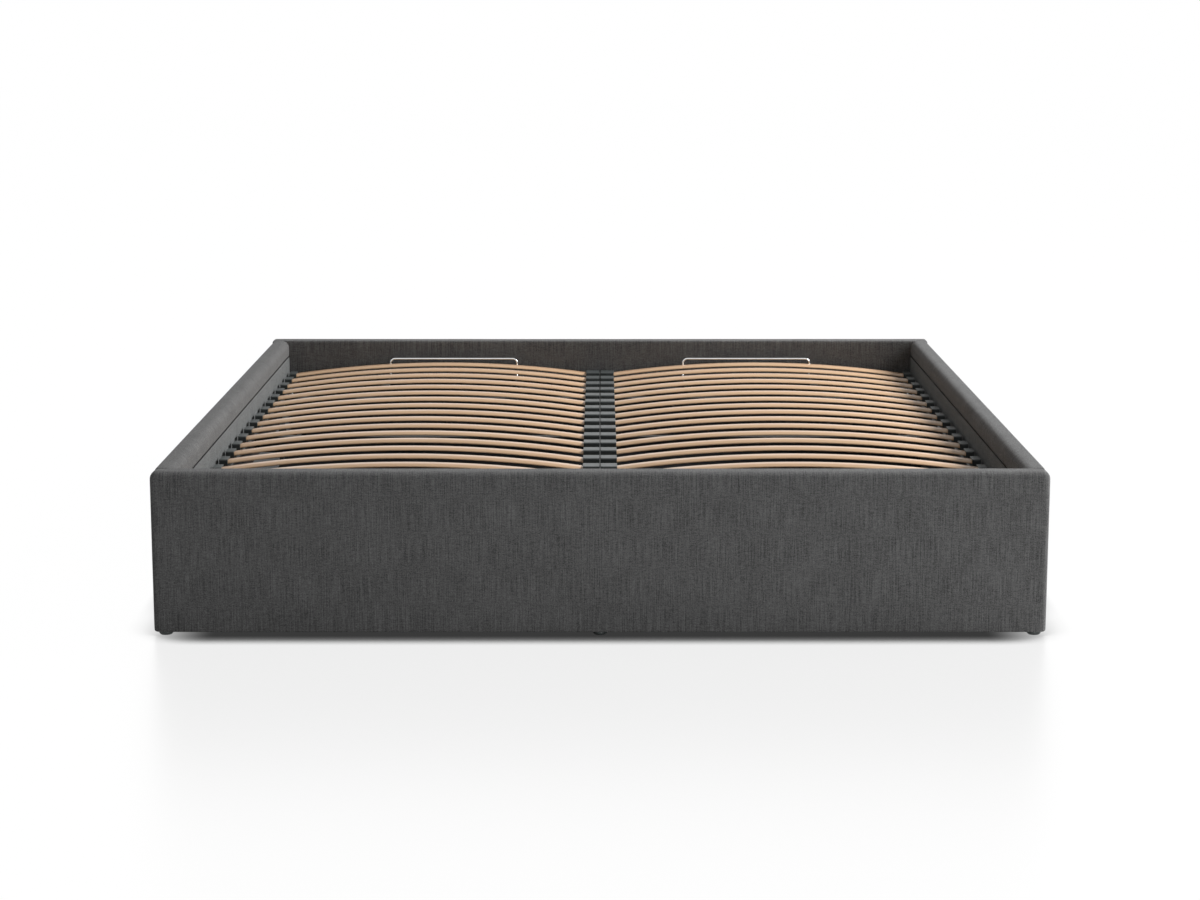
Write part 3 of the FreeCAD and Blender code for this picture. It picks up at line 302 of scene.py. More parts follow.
FINISHES = {
    chipboard: ["_board"],
    pine_lengthwise: ["side_ledge", "floor_battens", "floor_beam"],
    pine_crosswise: ["front_ledge"],
    hardboard: ["floor_panel"],
    black_powder: ["platform_", "lift_arm", "hinge_plate_left", "hinge_plate_right", "corner_brackets",
                   "strut_cylinder"],
    zinc_plate: ["bolts", "pins", "rivets", "strut_rod_eye"],
    bright_steel: ["mattress_retainer", "strut_rod_left", "strut_rod_right"],
    dark_nylon: ["holders", "tube_caps", "clamps", "glides", "strut_guide"],
}
for node_name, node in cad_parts.items():
    for finish, words in FINISHES.items():
        if any(word in node_name for word in words):
            node.data.materials.clear()
            node.data.materials.append(finish)
print("finishes", [finish.name for finish in FINISHES])

# %% [markdown]
# ## Modelling by hand, in code
# Pieces are shaped with the same operators that the menus call. An operator works on
# everything that is selected, so one helper clears the selection, and another selects the
# vertices, edges or faces of a piece that pass a test on their place.

# %% Helpers for modelling
# Two places this near are the same, and points nearer than a sliver's width are merged
NEAR = 1e-4
SLIVER = 0.0005
# Share of an edge's direction along an axis: above the first it runs along it, below the others not
ALONG, LEVEL, ACROSS = 0.9, 0.5, 0.1


def alone(piece):
    """Select this piece only."""
    bpy.ops.object.select_all(action="DESELECT")
    piece.select_set(True)
    bpy.context.view_layer.objects.active = piece
    return piece


def new_box(name, low, high):
    """A cuboid between two corners, with its place in its mesh."""
    bpy.ops.object.select_all(action="DESELECT")
    low, high = Vector(low), Vector(high)
    bpy.ops.mesh.primitive_cube_add(size=1, location=(low + high) / 2, scale=high - low)
    bpy.ops.object.transform_apply(location=True, rotation=True, scale=True)
    bpy.context.object.name = name
    return bpy.context.object


def middle_of(piece, item):
    corners = [piece.data.vertices[number].co for number in item.vertices]
    return sum(corners, Vector()) / len(corners)


def choose(piece, kind, test):
    """Enter edit mode with the vertices, edges or faces selected whose test holds."""
    bpy.ops.object.mode_set(mode="EDIT")
    bpy.ops.mesh.select_mode(type=kind)
    bpy.ops.mesh.select_all(action="DESELECT")
    bpy.ops.object.mode_set(mode="OBJECT")
    items = {"VERT": piece.data.vertices, "EDGE": piece.data.edges, "FACE": piece.data.polygons}[kind]
    for item in items:
        item.select = test(item)
    bpy.ops.object.mode_set(mode="EDIT")


def round_edges(piece, radius, segments, test):
    """Bevel the edges whose test on direction and middle holds."""
    def chosen(edge):
        first, last = [piece.data.vertices[number].co for number in edge.vertices]
        return test((last - first).normalized(), (first + last) / 2)
    choose(piece, "EDGE", chosen)
    bpy.ops.mesh.bevel(offset=radius, segments=segments, affect="EDGES", profile=0.5, clamp_overlap=True)
    bpy.ops.object.mode_set(mode="OBJECT")


def slice_evenly(piece, axis, step):
    """Cut a piece across one axis into even strips about one step wide."""
    places = [vertex.co[axis] for vertex in piece.data.vertices]
    low, high = min(places), max(places)
    count = max(2, round((high - low) / step))
    normal = [1 if number == axis else 0 for number in range(3)]
    bpy.ops.object.mode_set(mode="EDIT")
    for number in range(1, count):
        point = [0, 0, 0]
        point[axis] = low + (high - low) * number / count
        bpy.ops.mesh.select_all(action="SELECT")
        bpy.ops.mesh.bisect(plane_co=point, plane_no=normal)
    bpy.ops.mesh.select_all(action="SELECT")
    bpy.ops.mesh.remove_doubles(threshold=SLIVER)
    bpy.ops.object.mode_set(mode="OBJECT")


def apply_modifier(piece, kind, **settings):
    alone(piece)
    modifier = piece.modifiers.new(kind.lower(), kind)
    for name, value in settings.items():
        setattr(modifier, name, value)
    bpy.ops.object.modifier_apply(modifier=modifier.name)


def finished(piece, body, finish, slot, *nodes):
    """Hand a piece over: finish, body, slot, which is not used, and the nodes that it stands for."""
    piece.data.materials.clear()
    piece.data.materials.append(finish)
    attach(piece, body)
    if nodes:
        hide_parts(*nodes)
    return piece


# %% [markdown]
# ## Padded panels
# Foot and head are boards wrapped in thin foam and cloth. The cloth is pulled tight over
# rounded edges and stapled below, and the foam swells it by a few millimetres in the middle
# of each face. A cuboid with bevelled edges is sliced into an even net, a little smaller than
# the finished panel. A short cloth simulation with air pressure inside then swells it, with
# the stapled points held, and the moves are scaled so that the largest is the foam's swell.
# The UV map unrolls the cover in metres: along the panel, and up the face and over its top.

# %% Helpers for upholstery
NET = 0.024
SWELL_FRAMES = 20
SWELL_QUALITY = 6
FOAM_PRESSURE = 0.1
CLOTH_STIFFNESS = 40
CLOTH_BENDING = 10
# A face that points this much along a panel is part of its end, and is laid out farther on
END_FACING = 0.75
END_SHIFT = 3


def lay_cloth(piece, run, across):
    """UV map in metres that unrolls a panel; run is the axis along it, across its thickness axis.

    The cloth goes up the inner face, over the top and down the outer face, and straight over the ends.
    """
    depths = [abs(vertex.co[across]) for vertex in piece.data.vertices]
    inner, outer = min(depths), max(depths)
    top = max(vertex.co.z for vertex in piece.data.vertices)
    cloth = piece.data.uv_layers.new(name="cloth")
    for face in piece.data.polygons:
        at_end = abs(face.normal[run]) > END_FACING
        for corner in face.loop_indices:
            place = piece.data.vertices[piece.data.loops[corner].vertex_index].co
            depth = abs(place[across]) - inner
            if depth > (outer - inner) / 2:
                over = 2 * top - place.z + depth
            else:
                over = place.z + depth
            cloth.data[corner].uv = (depth + END_SHIFT, place.z) if at_end else (place[run], over)


def swell(piece, most, held):
    """Let pressure swell a cover by the most given, with the points that are held left in place."""
    places = [vertex.co.copy() for vertex in piece.data.vertices]
    stapled = piece.vertex_groups.new(name="stapled")
    stapled.add([number for number, place in enumerate(places) if held(place)], 1, "REPLACE")
    foam = alone(piece).modifiers.new("foam", "CLOTH")
    foam.settings.quality = SWELL_QUALITY
    foam.settings.tension_stiffness = CLOTH_STIFFNESS
    foam.settings.compression_stiffness = CLOTH_STIFFNESS
    foam.settings.bending_stiffness = CLOTH_BENDING
    foam.settings.use_pressure = True
    foam.settings.uniform_pressure_force = FOAM_PRESSURE
    foam.settings.effector_weights.gravity = 0
    foam.settings.vertex_group_mass = stapled.name
    foam.collision_settings.use_collision = False
    foam.point_cache.frame_end = SWELL_FRAMES
    for number in range(1, SWELL_FRAMES + 1):
        bpy.context.scene.frame_set(number)
    bpy.ops.object.modifier_apply(modifier=foam.name)
    bpy.context.scene.frame_set(1)
    piece.vertex_groups.clear()
    moves = [vertex.co - place for vertex, place in zip(piece.data.vertices, places)]
    longest = max(move.length for move in moves)
    share = min(1, most / longest)
    for vertex, place, move in zip(piece.data.vertices, places, moves):
        vertex.co = place + share * move
    print(piece.name, "swelled by", round(longest / MM, 2), "mm, of which", round(share, 3), "is kept")


# %% [markdown]
# ## Foot and head
# Both ends have the same kind of cover, so one function makes them. The outer edges of the foot
# are softly rounded, those of the head are tighter, and the edges on the inside are the
# tightest. The cloth is wrapped a little under the panel, so that no wood shows there.

# %% Foot and head panels
FOOT_ROUND = 0.016
HEAD_ROUND = 0.007
BACK_ROUND = 0.004
PANEL_SWELL = 0.003
PANEL_FOOT = 0.007
CLOTH_UNDER = 0.0016
COVER_INSET = 0.001


def end_panel_cover(name, node, edge_round):
    low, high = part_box(node)
    inset = Vector((COVER_INSET, COVER_INSET, 0))
    wrap = Vector((0, 0, CLOTH_UNDER))
    panel = new_box(name, low + inset - wrap, high - inset)
    floor_line = low.z + edge_round
    inner_face = min(abs(vertex.co.y) for vertex in panel.data.vertices)

    def on_inner_face(place):
        return abs(place.y) < inner_face + MM

    round_edges(panel, edge_round, 5, lambda way, place: place.z > floor_line and not on_inner_face(place))
    round_edges(panel, BACK_ROUND, 3, lambda way, place: place.z > floor_line and on_inner_face(place))
    round_edges(panel, PANEL_FOOT, 3, lambda way, place: abs(way.z) < LEVEL and place.z < floor_line)
    for axis in range(3):
        slice_evenly(panel, axis, NET)
    swell(panel, PANEL_SWELL, lambda place: place.z < low.z + PANEL_FOOT)
    apply_modifier(panel, "SUBSURF", levels=1, render_levels=1)
    lay_cloth(panel, run=0, across=1)
    bpy.ops.object.shade_smooth()
    return finished(panel, "frame", charcoal_linen, "charcoal_fabric", node)


foot_cover = end_panel_cover("foot_panel_cover", "front_panel_cover", FOOT_ROUND)
end_panel_cover("head_panel_cover", "rear_panel_cover", HEAD_ROUND)
print("end panels", len(foot_cover.data.polygons), "faces each")

# %% [markdown]
# ## Side rails and their lining
# A rail's cover rolls over the top edge in a broad soft curve and is sewn to a flat lining
# 44 mm below the rim on the inside. The seam is a shallow crease between two rolled edges.
# The rail starts as a cuboid, from which a second one is taken out by a boolean where the
# lining goes. Its long edges then get different bevels, and a small one around each end keeps
# the cover tight against the panels. The lining is a thin padded board of its own.

# %% Side rails
SEAM_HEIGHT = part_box("side_rail_lining_right")[1].z
RAIL_ROLL = 0.020
RAIL_ROUND = 0.006
RAIL_FOOT = 0.008
RAIL_END = 0.002
SEAM_ROUND = 0.0035
SEAM_GAP = 0.003
LINING_ROOM = 0.010
RAIL_SWELL = 0.0025
LINING_SMOOTH = math.radians(50)


def rail_cover(side, sign):
    low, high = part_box(f"side_rail_cover_{side}")
    inner, outer = sorted((abs(low.x), abs(high.x)))
    rail = new_box(f"rail_cover_{side}", low, high)
    beyond, room = sorted((sign * (inner - LINING_ROOM), sign * (inner + LINING_ROOM)))
    lining_room = new_box("lining_room", (beyond, low.y - LINING_ROOM, low.z - LINING_ROOM),
                          (room, high.y + LINING_ROOM, SEAM_HEIGHT))
    apply_modifier(rail, "BOOLEAN", object=lining_room, operation="DIFFERENCE", solver="EXACT")
    bpy.data.objects.remove(lining_room)

    for radius, segments, depth, height in (
            (RAIL_ROLL, 8, inner, high.z), (RAIL_ROUND, 4, outer, high.z),
            (RAIL_FOOT, 3, outer, low.z), (SEAM_ROUND, 3, inner, SEAM_HEIGHT)):
        round_edges(rail, radius, segments, lambda way, place: (
            abs(way.y) > ALONG and abs(abs(place.x) - depth) < NEAR and abs(place.z - height) < NEAR))
    round_edges(rail, RAIL_END, 2, lambda way, place: abs(way.y) < ACROSS and (
        place.y < low.y + NEAR or place.y > high.y - NEAR))
    slice_evenly(rail, 1, NET)
    slice_evenly(rail, 2, NET)

    def sewn_down(place):
        at_seam = place.z < SEAM_HEIGHT + SEAM_ROUND and abs(place.x) < inner + LINING_ROOM + NEAR
        return at_seam or place.z < low.z + RAIL_FOOT

    swell(rail, RAIL_SWELL, sewn_down)
    apply_modifier(rail, "SUBSURF", levels=1, render_levels=1)
    lay_cloth(rail, run=1, across=0)
    alone(rail)
    bpy.ops.object.shade_smooth()
    finished(rail, "frame", charcoal_linen, "charcoal_fabric", f"side_rail_cover_{side}")


def rail_lining(side):
    low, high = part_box(f"side_rail_lining_{side}")
    lining = new_box(f"rail_lining_{side}", low, high - Vector((0, 0, SEAM_GAP)))
    round_edges(lining, SEAM_ROUND, 3, lambda way, place: (
        abs(way.y) > ALONG and place.z > SEAM_HEIGHT - 2 * SEAM_GAP))
    slice_evenly(lining, 1, NET)
    slice_evenly(lining, 2, NET)
    lay_cloth(lining, run=1, across=0)
    alone(lining)
    bpy.ops.object.shade_smooth_by_angle(angle=LINING_SMOOTH)
    finished(lining, "frame", lining_linen, "lining_cloth", f"side_rail_lining_{side}")


for side, sign in (("left", -1), ("right", 1)):
    rail_cover(side, sign)
    rail_lining(side)
print("seam at", round(SEAM_HEIGHT, 4))

# %% [markdown]
# ## Seam thread
# The rail's cover is sewn to its lining with a strong dark thread, whose stitches lie in the crease and
# draw it as a thin dark line; the thread's near-black colour is also painted shade, standing for the shadow
# deep in the crease. One stitch is a small rounded bar, and an array repeats it along the seam. A few faces
# are enough for it, because there are hundreds.

# %% Stitches in the rail seams
STITCH_LENGTH = 0.0046
STITCH_PITCH = 0.005
STITCH_THICK = 0.0022
STITCH_ROUND_SHARE = 0.3
STITCH_DEPTH_SHARE = 0.6

# Painted shade: this near-black thread also stands for the shadow in the seam's crease; the same thread
# sews the strap's tabs.
black_thread_and_crease_shade = speckled("spun_black_polyester_thread_and_crease_shade", "#121213", "#202021", 0.5, 0.1, (0.7, 0.85),
                        Specular_IOR_Level=0.1)


def new_stitch(name, middle, size):
    half = Vector(size) / 2
    stitch = new_box(name, Vector(middle) - half, Vector(middle) + half)
    round_edges(stitch, min(size) * STITCH_ROUND_SHARE, 1, lambda way, place: True)
    bpy.ops.object.shade_smooth()
    return stitch


def repeat(piece, count, step):
    """Repeat a piece in even steps, in its own mesh."""
    apply_modifier(piece, "ARRAY", count=count, use_relative_offset=False, use_constant_offset=True,
                   constant_offset_displace=step)


for side, sign in (("left", -1), ("right", 1)):
    low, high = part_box(f"side_rail_lining_{side}")
    crease = sign * (min(abs(low.x), abs(high.x)) + STITCH_THICK * STITCH_DEPTH_SHARE)
    first = (crease, low.y + STITCH_PITCH / 2, SEAM_HEIGHT - SEAM_GAP / 2)
    stitch_count = int((high.y - low.y) / STITCH_PITCH)
    seam = new_stitch(f"seam_stitches_and_crease_shade_{side}", first, (STITCH_THICK, STITCH_LENGTH, STITCH_THICK))
    repeat(seam, stitch_count, (0, STITCH_PITCH, 0))
    finished(seam, "frame", black_thread_and_crease_shade, "charcoal_fabric")
print("stitches in each seam", stitch_count)

# %% [markdown]
# ## Sprung slats
# Every slat is the same bent bar, so one is modelled and copied. A real one is glued in a
# curved mould and its upper edges are planed to a slope; here such a section is spun through
# a few degrees about an axis far below, which gives the same even bow. Two attributes are
# stored: the depth through the thickness, for the veneers, and where the sawn edges are.

# %% One slat
SLAT_WIDTH = 0.038
SLAT_THICKNESS = 0.008
SLAT_SHOULDER = 0.009
SLAT_EDGE = 0.0025
SHOULDER_ROUND = 0.004
EDGE_ROUND = 0.001
SLAT_ARRIS = 0.0006
SPIN_STEPS = 36
SLAT_SMOOTH = math.radians(35)
# A face turned this far from the bow counts as fully sawn
SAWN_TURN = 0.12
ROW_COUNT = 19
SLAT_LOW, SLAT_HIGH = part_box("slats_right")
FIRST_ROW = SLAT_LOW.y + SLAT_WIDTH / 2
PITCH = (SLAT_HIGH.y - SLAT_LOW.y - SLAT_WIDTH) / (ROW_COUNT - 1)
SLAT_MIDDLE = (SLAT_LOW.x + SLAT_HIGH.x) / 2
HALF_SPAN = (SLAT_HIGH.x - SLAT_LOW.x) / 2
RISE = SLAT_HIGH.z - SLAT_LOW.z - SLAT_THICKNESS
BOW_RADIUS = (HALF_SPAN ** 2 + RISE ** 2) / (2 * RISE)
BOW_CENTRE = SLAT_HIGH.z - SLAT_THICKNESS - BOW_RADIUS
HALF_ANGLE = math.asin(HALF_SPAN / (BOW_RADIUS + SLAT_THICKNESS))


def bent_slat():
    bpy.ops.object.select_all(action="DESELECT")
    reach = BOW_RADIUS + SLAT_THICKNESS / 2
    start = (SLAT_MIDDLE - reach * math.sin(HALF_ANGLE), FIRST_ROW,
             BOW_CENTRE + reach * math.cos(HALF_ANGLE))
    bpy.ops.mesh.primitive_plane_add(size=1, location=start, rotation=(0, math.pi / 2 - HALF_ANGLE, 0))
    slat = bpy.context.object
    slat.scale = (SLAT_THICKNESS, SLAT_WIDTH, 1)
    bpy.ops.object.transform_apply(location=True, rotation=True, scale=True)

    def height(vertex):
        return math.hypot(vertex.co.x - SLAT_MIDDLE, vertex.co.z - BOW_CENTRE) - reach

    def between_heights(low, high):
        return lambda vertex: low < height(vertex) < high

    upper, lower = SLAT_THICKNESS / 2, -SLAT_THICKNESS / 2
    choose(slat, "VERT", between_heights(0, SLAT_THICKNESS))
    slope = SLAT_THICKNESS - SLAT_EDGE
    bpy.ops.mesh.bevel(offset=slope, segments=1, affect="VERTICES")
    bpy.ops.object.mode_set(mode="OBJECT")
    choose(slat, "VERT", between_heights(upper - NEAR, SLAT_THICKNESS))
    draw_in = (SLAT_WIDTH / 2 - SLAT_SHOULDER) / (SLAT_WIDTH / 2 - slope)
    bpy.ops.transform.resize(value=(1, draw_in, 1), center_override=start)
    bpy.ops.object.mode_set(mode="OBJECT")
    for low, high, radius, segments in (
            (upper - NEAR, SLAT_THICKNESS, SHOULDER_ROUND, 4), (lower + MM, 0, EDGE_ROUND, 2),
            (-SLAT_THICKNESS, lower + NEAR, SLAT_ARRIS, 1)):
        choose(slat, "VERT", between_heights(low, high))
        bpy.ops.mesh.bevel(offset=radius, segments=segments, affect="VERTICES")
        bpy.ops.object.mode_set(mode="OBJECT")
    bpy.ops.object.mode_set(mode="EDIT")
    bpy.ops.mesh.select_all(action="SELECT")
    bpy.ops.mesh.spin(steps=SPIN_STEPS, angle=-2 * HALF_ANGLE, center=(SLAT_MIDDLE, FIRST_ROW, BOW_CENTRE),
                      axis=(0, 1, 0))
    bpy.ops.mesh.select_all(action="SELECT")
    bpy.ops.mesh.normals_make_consistent(inside=False)
    bpy.ops.object.mode_set(mode="OBJECT")
    depth = slat.data.attributes.new("veneer_depth", "FLOAT", "POINT")
    sawn_and_painted_light = slat.data.attributes.new("sawn_edge", "FLOAT", "FACE")
    for number, vertex in enumerate(slat.data.vertices):
        depth.data[number].value = height(vertex)
    for number, face in enumerate(slat.data.polygons):
        arm = (face.center - Vector((SLAT_MIDDLE, face.center.y, BOW_CENTRE))).normalized()
        sawn_and_painted_light.data[number].value = min(1, (1 - abs(arm.dot(face.normal))) / SAWN_TURN)
    bpy.ops.object.shade_smooth_by_angle(angle=SLAT_SMOOTH)
    return slat


first_slat = bent_slat()
places = [vertex.co.x for vertex in first_slat.data.vertices]
print("slat spans", round(min(places), 4), round(max(places), 4), "faces", len(first_slat.data.polygons))

# %% [markdown]
# ## Rows of slats
# The slat is copied along the bed at the pitch of its holders. Each copy has its own mesh, moved
# in the mesh, and the copies of one side are joined to one piece that rides on the platform.

# %% Rows of slats
def copied(piece, name, shift):
    """A copy of a piece with its own mesh, moved in the mesh."""
    copy = piece.copy()
    copy.data = piece.data.copy()
    copy.data.transform(Matrix.Translation(shift))
    copy.name = name
    bpy.context.scene.collection.objects.link(copy)
    return copy


def joined(pieces, name):
    """Several pieces made one object."""
    alone(pieces[0])
    for piece in pieces[1:]:
        piece.select_set(True)
    bpy.ops.object.join()
    pieces[0].name = name
    return pieces[0]


for side, shift in (("left", -2 * SLAT_MIDDLE), ("right", 0)):
    copies = [copied(first_slat, f"slat_{side}_{row}", (shift, row * PITCH, 0)) for row in range(ROW_COUNT)]
    slats = joined(copies, f"sprung_slats_{side}")
    finished(slats, "platform", beech, "beech", f"slats_{side}")
bpy.data.objects.remove(first_slat)
print(ROW_COUNT, "rows of slats at a pitch of", round(PITCH, 4))

# %% [markdown]
# ## Pull strap
# The platform is lifted by a loop of ribbed webbing that is riveted to its foot tube. Webbing
# is woven flat and keeps its width, so a flat section with rounded edges is spun into the
# loop, its two ends are drawn out into tabs, and the folds between them are rounded. The ribs
# are drawn 1.6 mm apart across the strap. Rows of thread hold the ends beside the rivets.

# %% Webbing finish
RIB_MM = 1.6
RIB_RELIEF_MM = 0.4
# Cells per metre along and across the fibres, and of slow patches, then weight and detail
WEBBING_LAYERS = (
    ((300, 1500, 1500), 0.9, 2),
    ((60, 60, 60), 0.6, 2),
)


def ribbed_webbing():
    finish, tree, shader = new_finish("woven_black_webbing", Specular_IOR_Level=0.2, Sheen_Weight=0.15)
    place = add_node(tree, "TexCoord").outputs["Object"]
    tone, (_, patch) = layered(tree, place, WEBBING_LAYERS)
    colour = add_node(tree, "Mix", {"Factor": tone, COLOUR_A: srgb("#141516"), COLOUR_B: srgb("#2f3032")},
                      data_type="RGBA")
    tree.links.new(colour.outputs[MIXED], shader.inputs["Base Color"])
    rough = add_node(tree, "MapRange", {
        "Value": patch, "From Min": NOISE_LOW, "From Max": NOISE_HIGH,
        "To Min": 0.7, "To Max": 0.9}).outputs[0]
    tree.links.new(rough, shader.inputs["Roughness"])
    ribs, picks = [
        add_node(tree, "TexWave", {"Vector": place, "Scale": WAVE_PERIOD_MM / RIB_MM},
                 bands_direction=way, wave_type="BANDS").outputs["Fac"]
        for way in ("Y", "X")
    ]
    relief = add_node(tree, "Math", {0: ribs, 1: picks}, operation="ADD").outputs[0]
    bump = add_node(tree, "Bump", {"Height": relief, "Distance": RIB_RELIEF_MM * MM, "Strength": 0.7})
    tree.links.new(bump.outputs[0], shader.inputs["Normal"])
    return finish


webbing = ribbed_webbing()

# %% [markdown]
# ## Loop and tabs
# The loop is an arc that just touches the top of the strap's box. Its radius follows from the
# length between the tabs and the rise in the middle.

# %% Loop and tabs
STRAP_LOW, STRAP_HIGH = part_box("pull_strap")
STRAP_THICK = 0.0025
STRAP_TAB = 0.030
STRAP_STEPS = 18
FOLD_ROUND = 0.006
FOLD_NEAR = 0.002
STRAP_END_FACING = 0.5
STRAP_ROUND_SHARE = 0.4
STRAP_SMOOTH = math.radians(40)
STRAP_Y = (STRAP_LOW.y + STRAP_HIGH.y) / 2
STRAP_HALF = STRAP_HIGH.x - STRAP_TAB
STRAP_RISE = STRAP_HIGH.z - STRAP_LOW.z - STRAP_THICK
STRAP_RADIUS = (STRAP_HALF ** 2 + STRAP_RISE ** 2) / (2 * STRAP_RISE)
STRAP_CENTRE = STRAP_LOW.z + STRAP_RISE - STRAP_RADIUS
STRAP_TURN = math.asin(STRAP_HALF / STRAP_RADIUS)


def pull_strap():
    bpy.ops.object.select_all(action="DESELECT")
    arm = STRAP_RADIUS + STRAP_THICK / 2
    start = (-arm * math.sin(STRAP_TURN), STRAP_Y, STRAP_CENTRE + arm * math.cos(STRAP_TURN))
    bpy.ops.mesh.primitive_plane_add(size=1, location=start, rotation=(0, math.pi / 2 - STRAP_TURN, 0))
    strap = bpy.context.object
    strap.name = "webbing_pull_strap"
    strap.scale = (STRAP_THICK, STRAP_HIGH.y - STRAP_LOW.y, 1)
    bpy.ops.object.transform_apply(location=True, rotation=True, scale=True)
    choose(strap, "VERT", lambda vertex: True)
    bpy.ops.mesh.bevel(offset=STRAP_THICK * STRAP_ROUND_SHARE, segments=2, affect="VERTICES")
    bpy.ops.mesh.select_all(action="SELECT")
    bpy.ops.mesh.spin(steps=STRAP_STEPS, angle=-2 * STRAP_TURN, center=(0, STRAP_Y, STRAP_CENTRE),
                      axis=(0, 1, 0))
    bpy.ops.mesh.select_all(action="SELECT")
    bpy.ops.mesh.normals_make_consistent(inside=False)
    bpy.ops.object.mode_set(mode="OBJECT")
    reach = max(vertex.co.x for vertex in strap.data.vertices)
    for sign in (-1, 1):
        choose(strap, "FACE", lambda face: (
            face.normal.x * sign > STRAP_END_FACING and middle_of(strap, face).x * sign > STRAP_HALF))
        bpy.ops.mesh.extrude_region_move()
        bpy.ops.transform.translate(value=(sign * (STRAP_HIGH.x - reach), 0, 0))
        bpy.ops.object.mode_set(mode="OBJECT")
    round_edges(strap, FOLD_ROUND, 4, lambda way, place: (
        abs(way.x) < ALONG and abs(abs(place.x) - STRAP_HALF) < FOLD_NEAR))
    alone(strap)
    bpy.ops.object.shade_smooth_by_angle(angle=STRAP_SMOOTH)
    return finished(strap, "platform", webbing, "strap_webbing", "pull_strap")


strap = pull_strap()
print("strap", len(strap.data.polygons), "faces, radius", round(STRAP_RADIUS, 4))

# %% [markdown]
# ## Thread on the tabs
# Four rows of short stitches run across each tab. They are made like those in the rail seams,
# only smaller, and of the same thread.

# %% Thread on the tabs
TACK = (0.0008, 0.0024, 0.0008)
TACK_PITCH = 0.003
TACK_COUNT = 6
TACK_MARGIN = 0.0035
TACK_HEIGHT_SHARE = 0.9
# Distances of the rows from the middle of the strap
TACK_ROWS = (0.106, 0.109, 0.124, 0.127)

tack_height = STRAP_LOW.z + STRAP_THICK * TACK_HEIGHT_SHARE
tacks = []
for sign in (-1, 1):
    for row in TACK_ROWS:
        tack = new_stitch("tack", (sign * row, STRAP_LOW.y + TACK_MARGIN, tack_height), TACK)
        repeat(tack, TACK_COUNT, (0, TACK_PITCH, 0))
        tacks.append(tack)
finished(joined(tacks, "strap_stitches"), "platform", black_thread_and_crease_shade, "strap_webbing")
print("rows of stitches on the strap", len(tacks))

# %% [markdown]
# ## Softened edges
# No real edge is perfectly sharp: tubes are rolled, plates are deburred and mouldings have a
# small radius, and these edges catch the light. The solids of the construction keep their
# meshes, and two modifiers soften them: one welds the loose triangles and one bevels
# what is sharper than a given angle.

# %% Edges of the construction
# Width of the soft edge for the nodes that have a word in their names
SOFT_EDGES = {
    "holders": 0.0008, "_tube": 0.0015, "ledge": 0.0015, "batten": 0.0015, "beam": 0.0015,
    "lift_arm": 0.0006, "hinge_plate": 0.0006, "brackets": 0.0006, "clamps": 0.0008, "glides": 0.001,
    "caps": 0.0006,
}
SOFT_ANGLE = math.radians(40)
SOFT_SEGMENTS = 2
WELD_REACH = 1e-5

softened = 0
for node_name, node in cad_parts.items():
    widths = [width for word, width in SOFT_EDGES.items() if word in node_name and "bolts" not in node_name]
    if widths:
        weld = node.modifiers.new("welded", "WELD")
        weld.merge_threshold = WELD_REACH
        soft = node.modifiers.new("soft_edges", "BEVEL")
        soft.width = widths[0]
        soft.segments = SOFT_SEGMENTS
        soft.limit_method = "ANGLE"
        soft.angle_limit = SOFT_ANGLE
        softened += 1
print("pieces with softened edges", softened)

# %% [markdown]
# ## Daylight studio
# The photograph is a plain product shot: a broad soft light from the upper right, weak light from all
# round, and a white ground that runs into the background. The lamps are set so that a colour renders about
# as it is written. The white comes from the floor and the world themselves: rays from the camera, and
# mirrored ones, see white. For these rays a contact shadow under the bed is painted into the floor's
# colour, darker where less of the sky is open to it, and this painted shadow fades towards the two front
# corners.

# %% Light, floor and background
# Place, target, width in metres and power in watts
LAMPS = {
    "key_lamp": ((5.5, 0.8, 4.1), (0, 0, 0.2), 2.6, 630),
    "low_front_lamp": ((1.8, -4.6, 0.35), (0.2, -1, 0.2), 0.7, 41),
}
# Strength of the world as a light, and as it is seen
SKY_LIGHT, SKY_SEEN = 0.18, 1.0
WHITE = (1, 1, 1, 1)
FLOOR_SIZE = 60
FLOOR_POLISH = 0.16
CONTACT_REACH = 0.12
# Openness of the floor to the sky, and how bright the painted contact shadow leaves it there
CONTACT_SHARES = ((0.5, 0.05), (0.65, 0.16), (0.74, 0.55), (0.86, 1))
# Where the painted contact shadow begins to fade and is faintest, across and along the bed, and the share
# lost
SIDE_FADE = (0.82, 1.0)
FRONT_FADE = (-0.55, -0.9)
FADE_SHARE = 0.85


def soft_lamp(name, place, target, width, power):
    bpy.ops.object.light_add(type="AREA", location=place)
    lamp = bpy.context.object
    lamp.name = name
    lamp.data.shape = "SQUARE"
    lamp.data.size = width
    lamp.data.energy = power
    lamp.rotation_euler = (Vector(target) - Vector(place)).to_track_quat("-Z", "Y").to_euler()


def seen_directly(tree):
    """1 for rays from the camera, mirrors and glass, else 0."""
    ways = add_node(tree, "LightPath")
    first = add_node(tree, "Math", {0: ways.outputs["Is Camera Ray"], 1: ways.outputs["Is Glossy Ray"]},
                     operation="MAXIMUM")
    return add_node(tree, "Math", {0: first.outputs[0], 1: ways.outputs["Is Transmission Ray"]},
                    operation="MAXIMUM").outputs[0]


for lamp_name, settings in LAMPS.items():
    soft_lamp(lamp_name, *settings)

world = bpy.data.worlds.new("white_studio")
bpy.context.scene.world = world
world.use_nodes = True
sky = world.node_tree
sky_strength = add_node(sky, "MapRange", {
    "Value": seen_directly(sky), "To Min": SKY_LIGHT, "To Max": SKY_SEEN}).outputs[0]
background = sky.nodes["Background"]
background.inputs["Color"].default_value = WHITE
sky.links.new(sky_strength, background.inputs["Strength"])

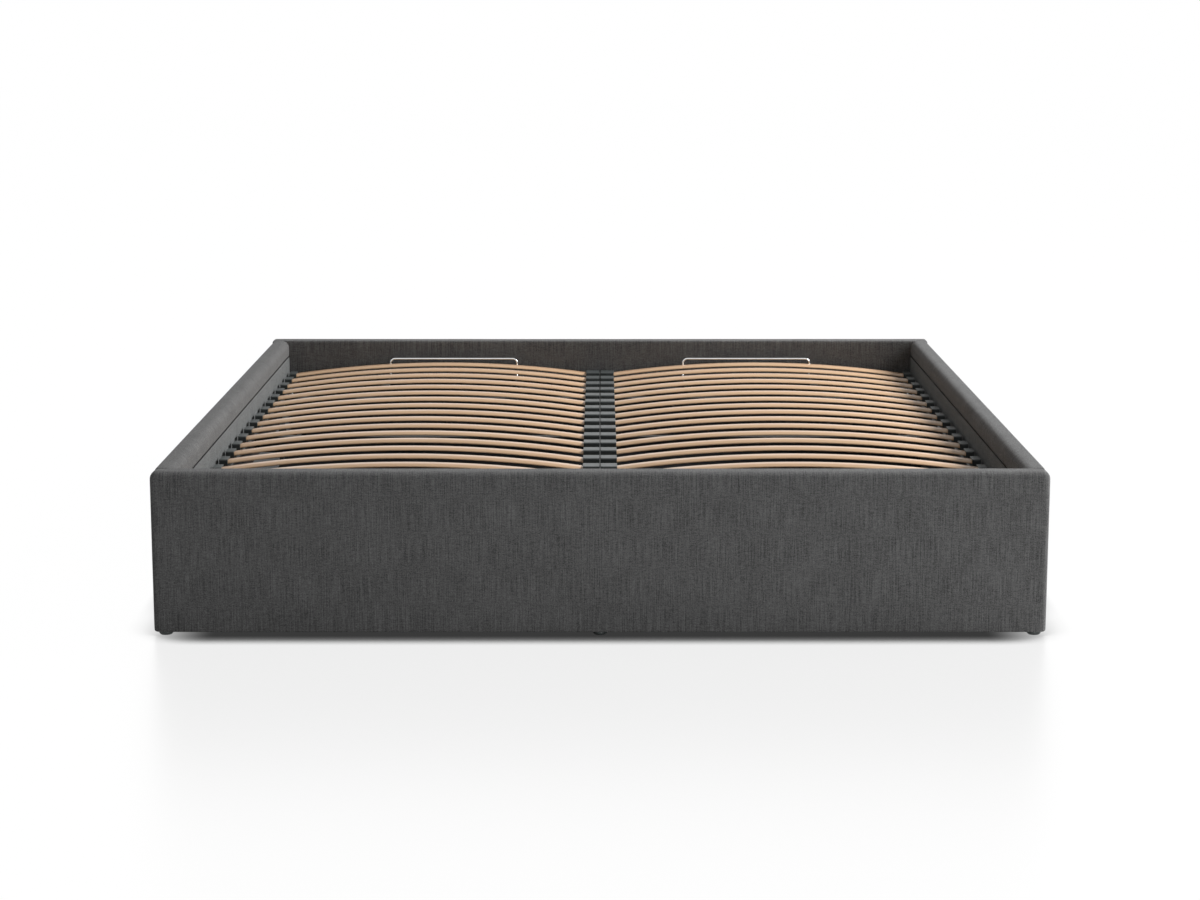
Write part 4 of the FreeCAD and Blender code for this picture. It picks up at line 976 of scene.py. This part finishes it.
bpy.ops.object.select_all(action="DESELECT")
bpy.ops.mesh.primitive_plane_add(size=FLOOR_SIZE)
floor = bpy.context.object
floor.name = "studio_floor"
paper, paper_tree, paper_shader = new_finish("white_paper_floor", Roughness=0.9, Specular_IOR_Level=0.1)
paper_shader.inputs["Base Color"].default_value = srgb("#b4b4b4")
open_sky = add_node(paper_tree, "AmbientOcclusion", {"Distance": CONTACT_REACH}, samples=32)
shade = add_node(paper_tree, "ValToRGB", {"Fac": open_sky.outputs["AO"]})
for number, (share, level) in enumerate(CONTACT_SHARES):
    mark = shade.color_ramp.elements[number] if number < 2 else shade.color_ramp.elements.new(share)
    mark.position = share
    mark.color = (level, level, level, 1)
floor_place = add_node(paper_tree, "TexCoord").outputs["Object"]
floor_axes = add_node(paper_tree, "SeparateXYZ", {0: floor_place}).outputs
sideways = add_node(paper_tree, "Math", {0: floor_axes["X"]}, operation="ABSOLUTE").outputs[0]
at_side, at_front = [
    add_node(paper_tree, "MapRange", {"Value": place, "From Min": start, "From Max": end, "To Max": share},
             interpolation_type="SMOOTHSTEP").outputs[0]
    for place, (start, end), share in (
        (sideways, SIDE_FADE, FADE_SHARE), (floor_axes["Y"], FRONT_FADE, 1))
]
fade = add_node(paper_tree, "Math", {0: at_side, 1: at_front}, operation="MULTIPLY").outputs[0]
# Painted shadow: the contact shade from the ramp is mixed towards white near the front corners, and the
# result is the floor's own colour for camera and mirrored rays.
painted_contact_shadow = add_node(paper_tree, "Mix", {
    "Factor": fade, COLOUR_A: shade.outputs["Color"], COLOUR_B: WHITE}, data_type="RGBA").outputs[MIXED]
own_light = add_node(paper_tree, "Emission", {"Color": painted_contact_shadow})
polish = add_node(paper_tree, "BsdfGlossy", {"Color": painted_contact_shadow, "Roughness": 0.3})
polished = add_node(paper_tree, "MixShader", {
    0: FLOOR_POLISH, 1: own_light.outputs[0], 2: polish.outputs[0]})
both = add_node(paper_tree, "MixShader", {
    0: seen_directly(paper_tree), 1: paper_shader.outputs[0], 2: polished.outputs[0]})
paper_tree.links.new(both.outputs[0], paper_tree.nodes["Material Output"].inputs["Surface"])
floor.data.materials.append(paper)
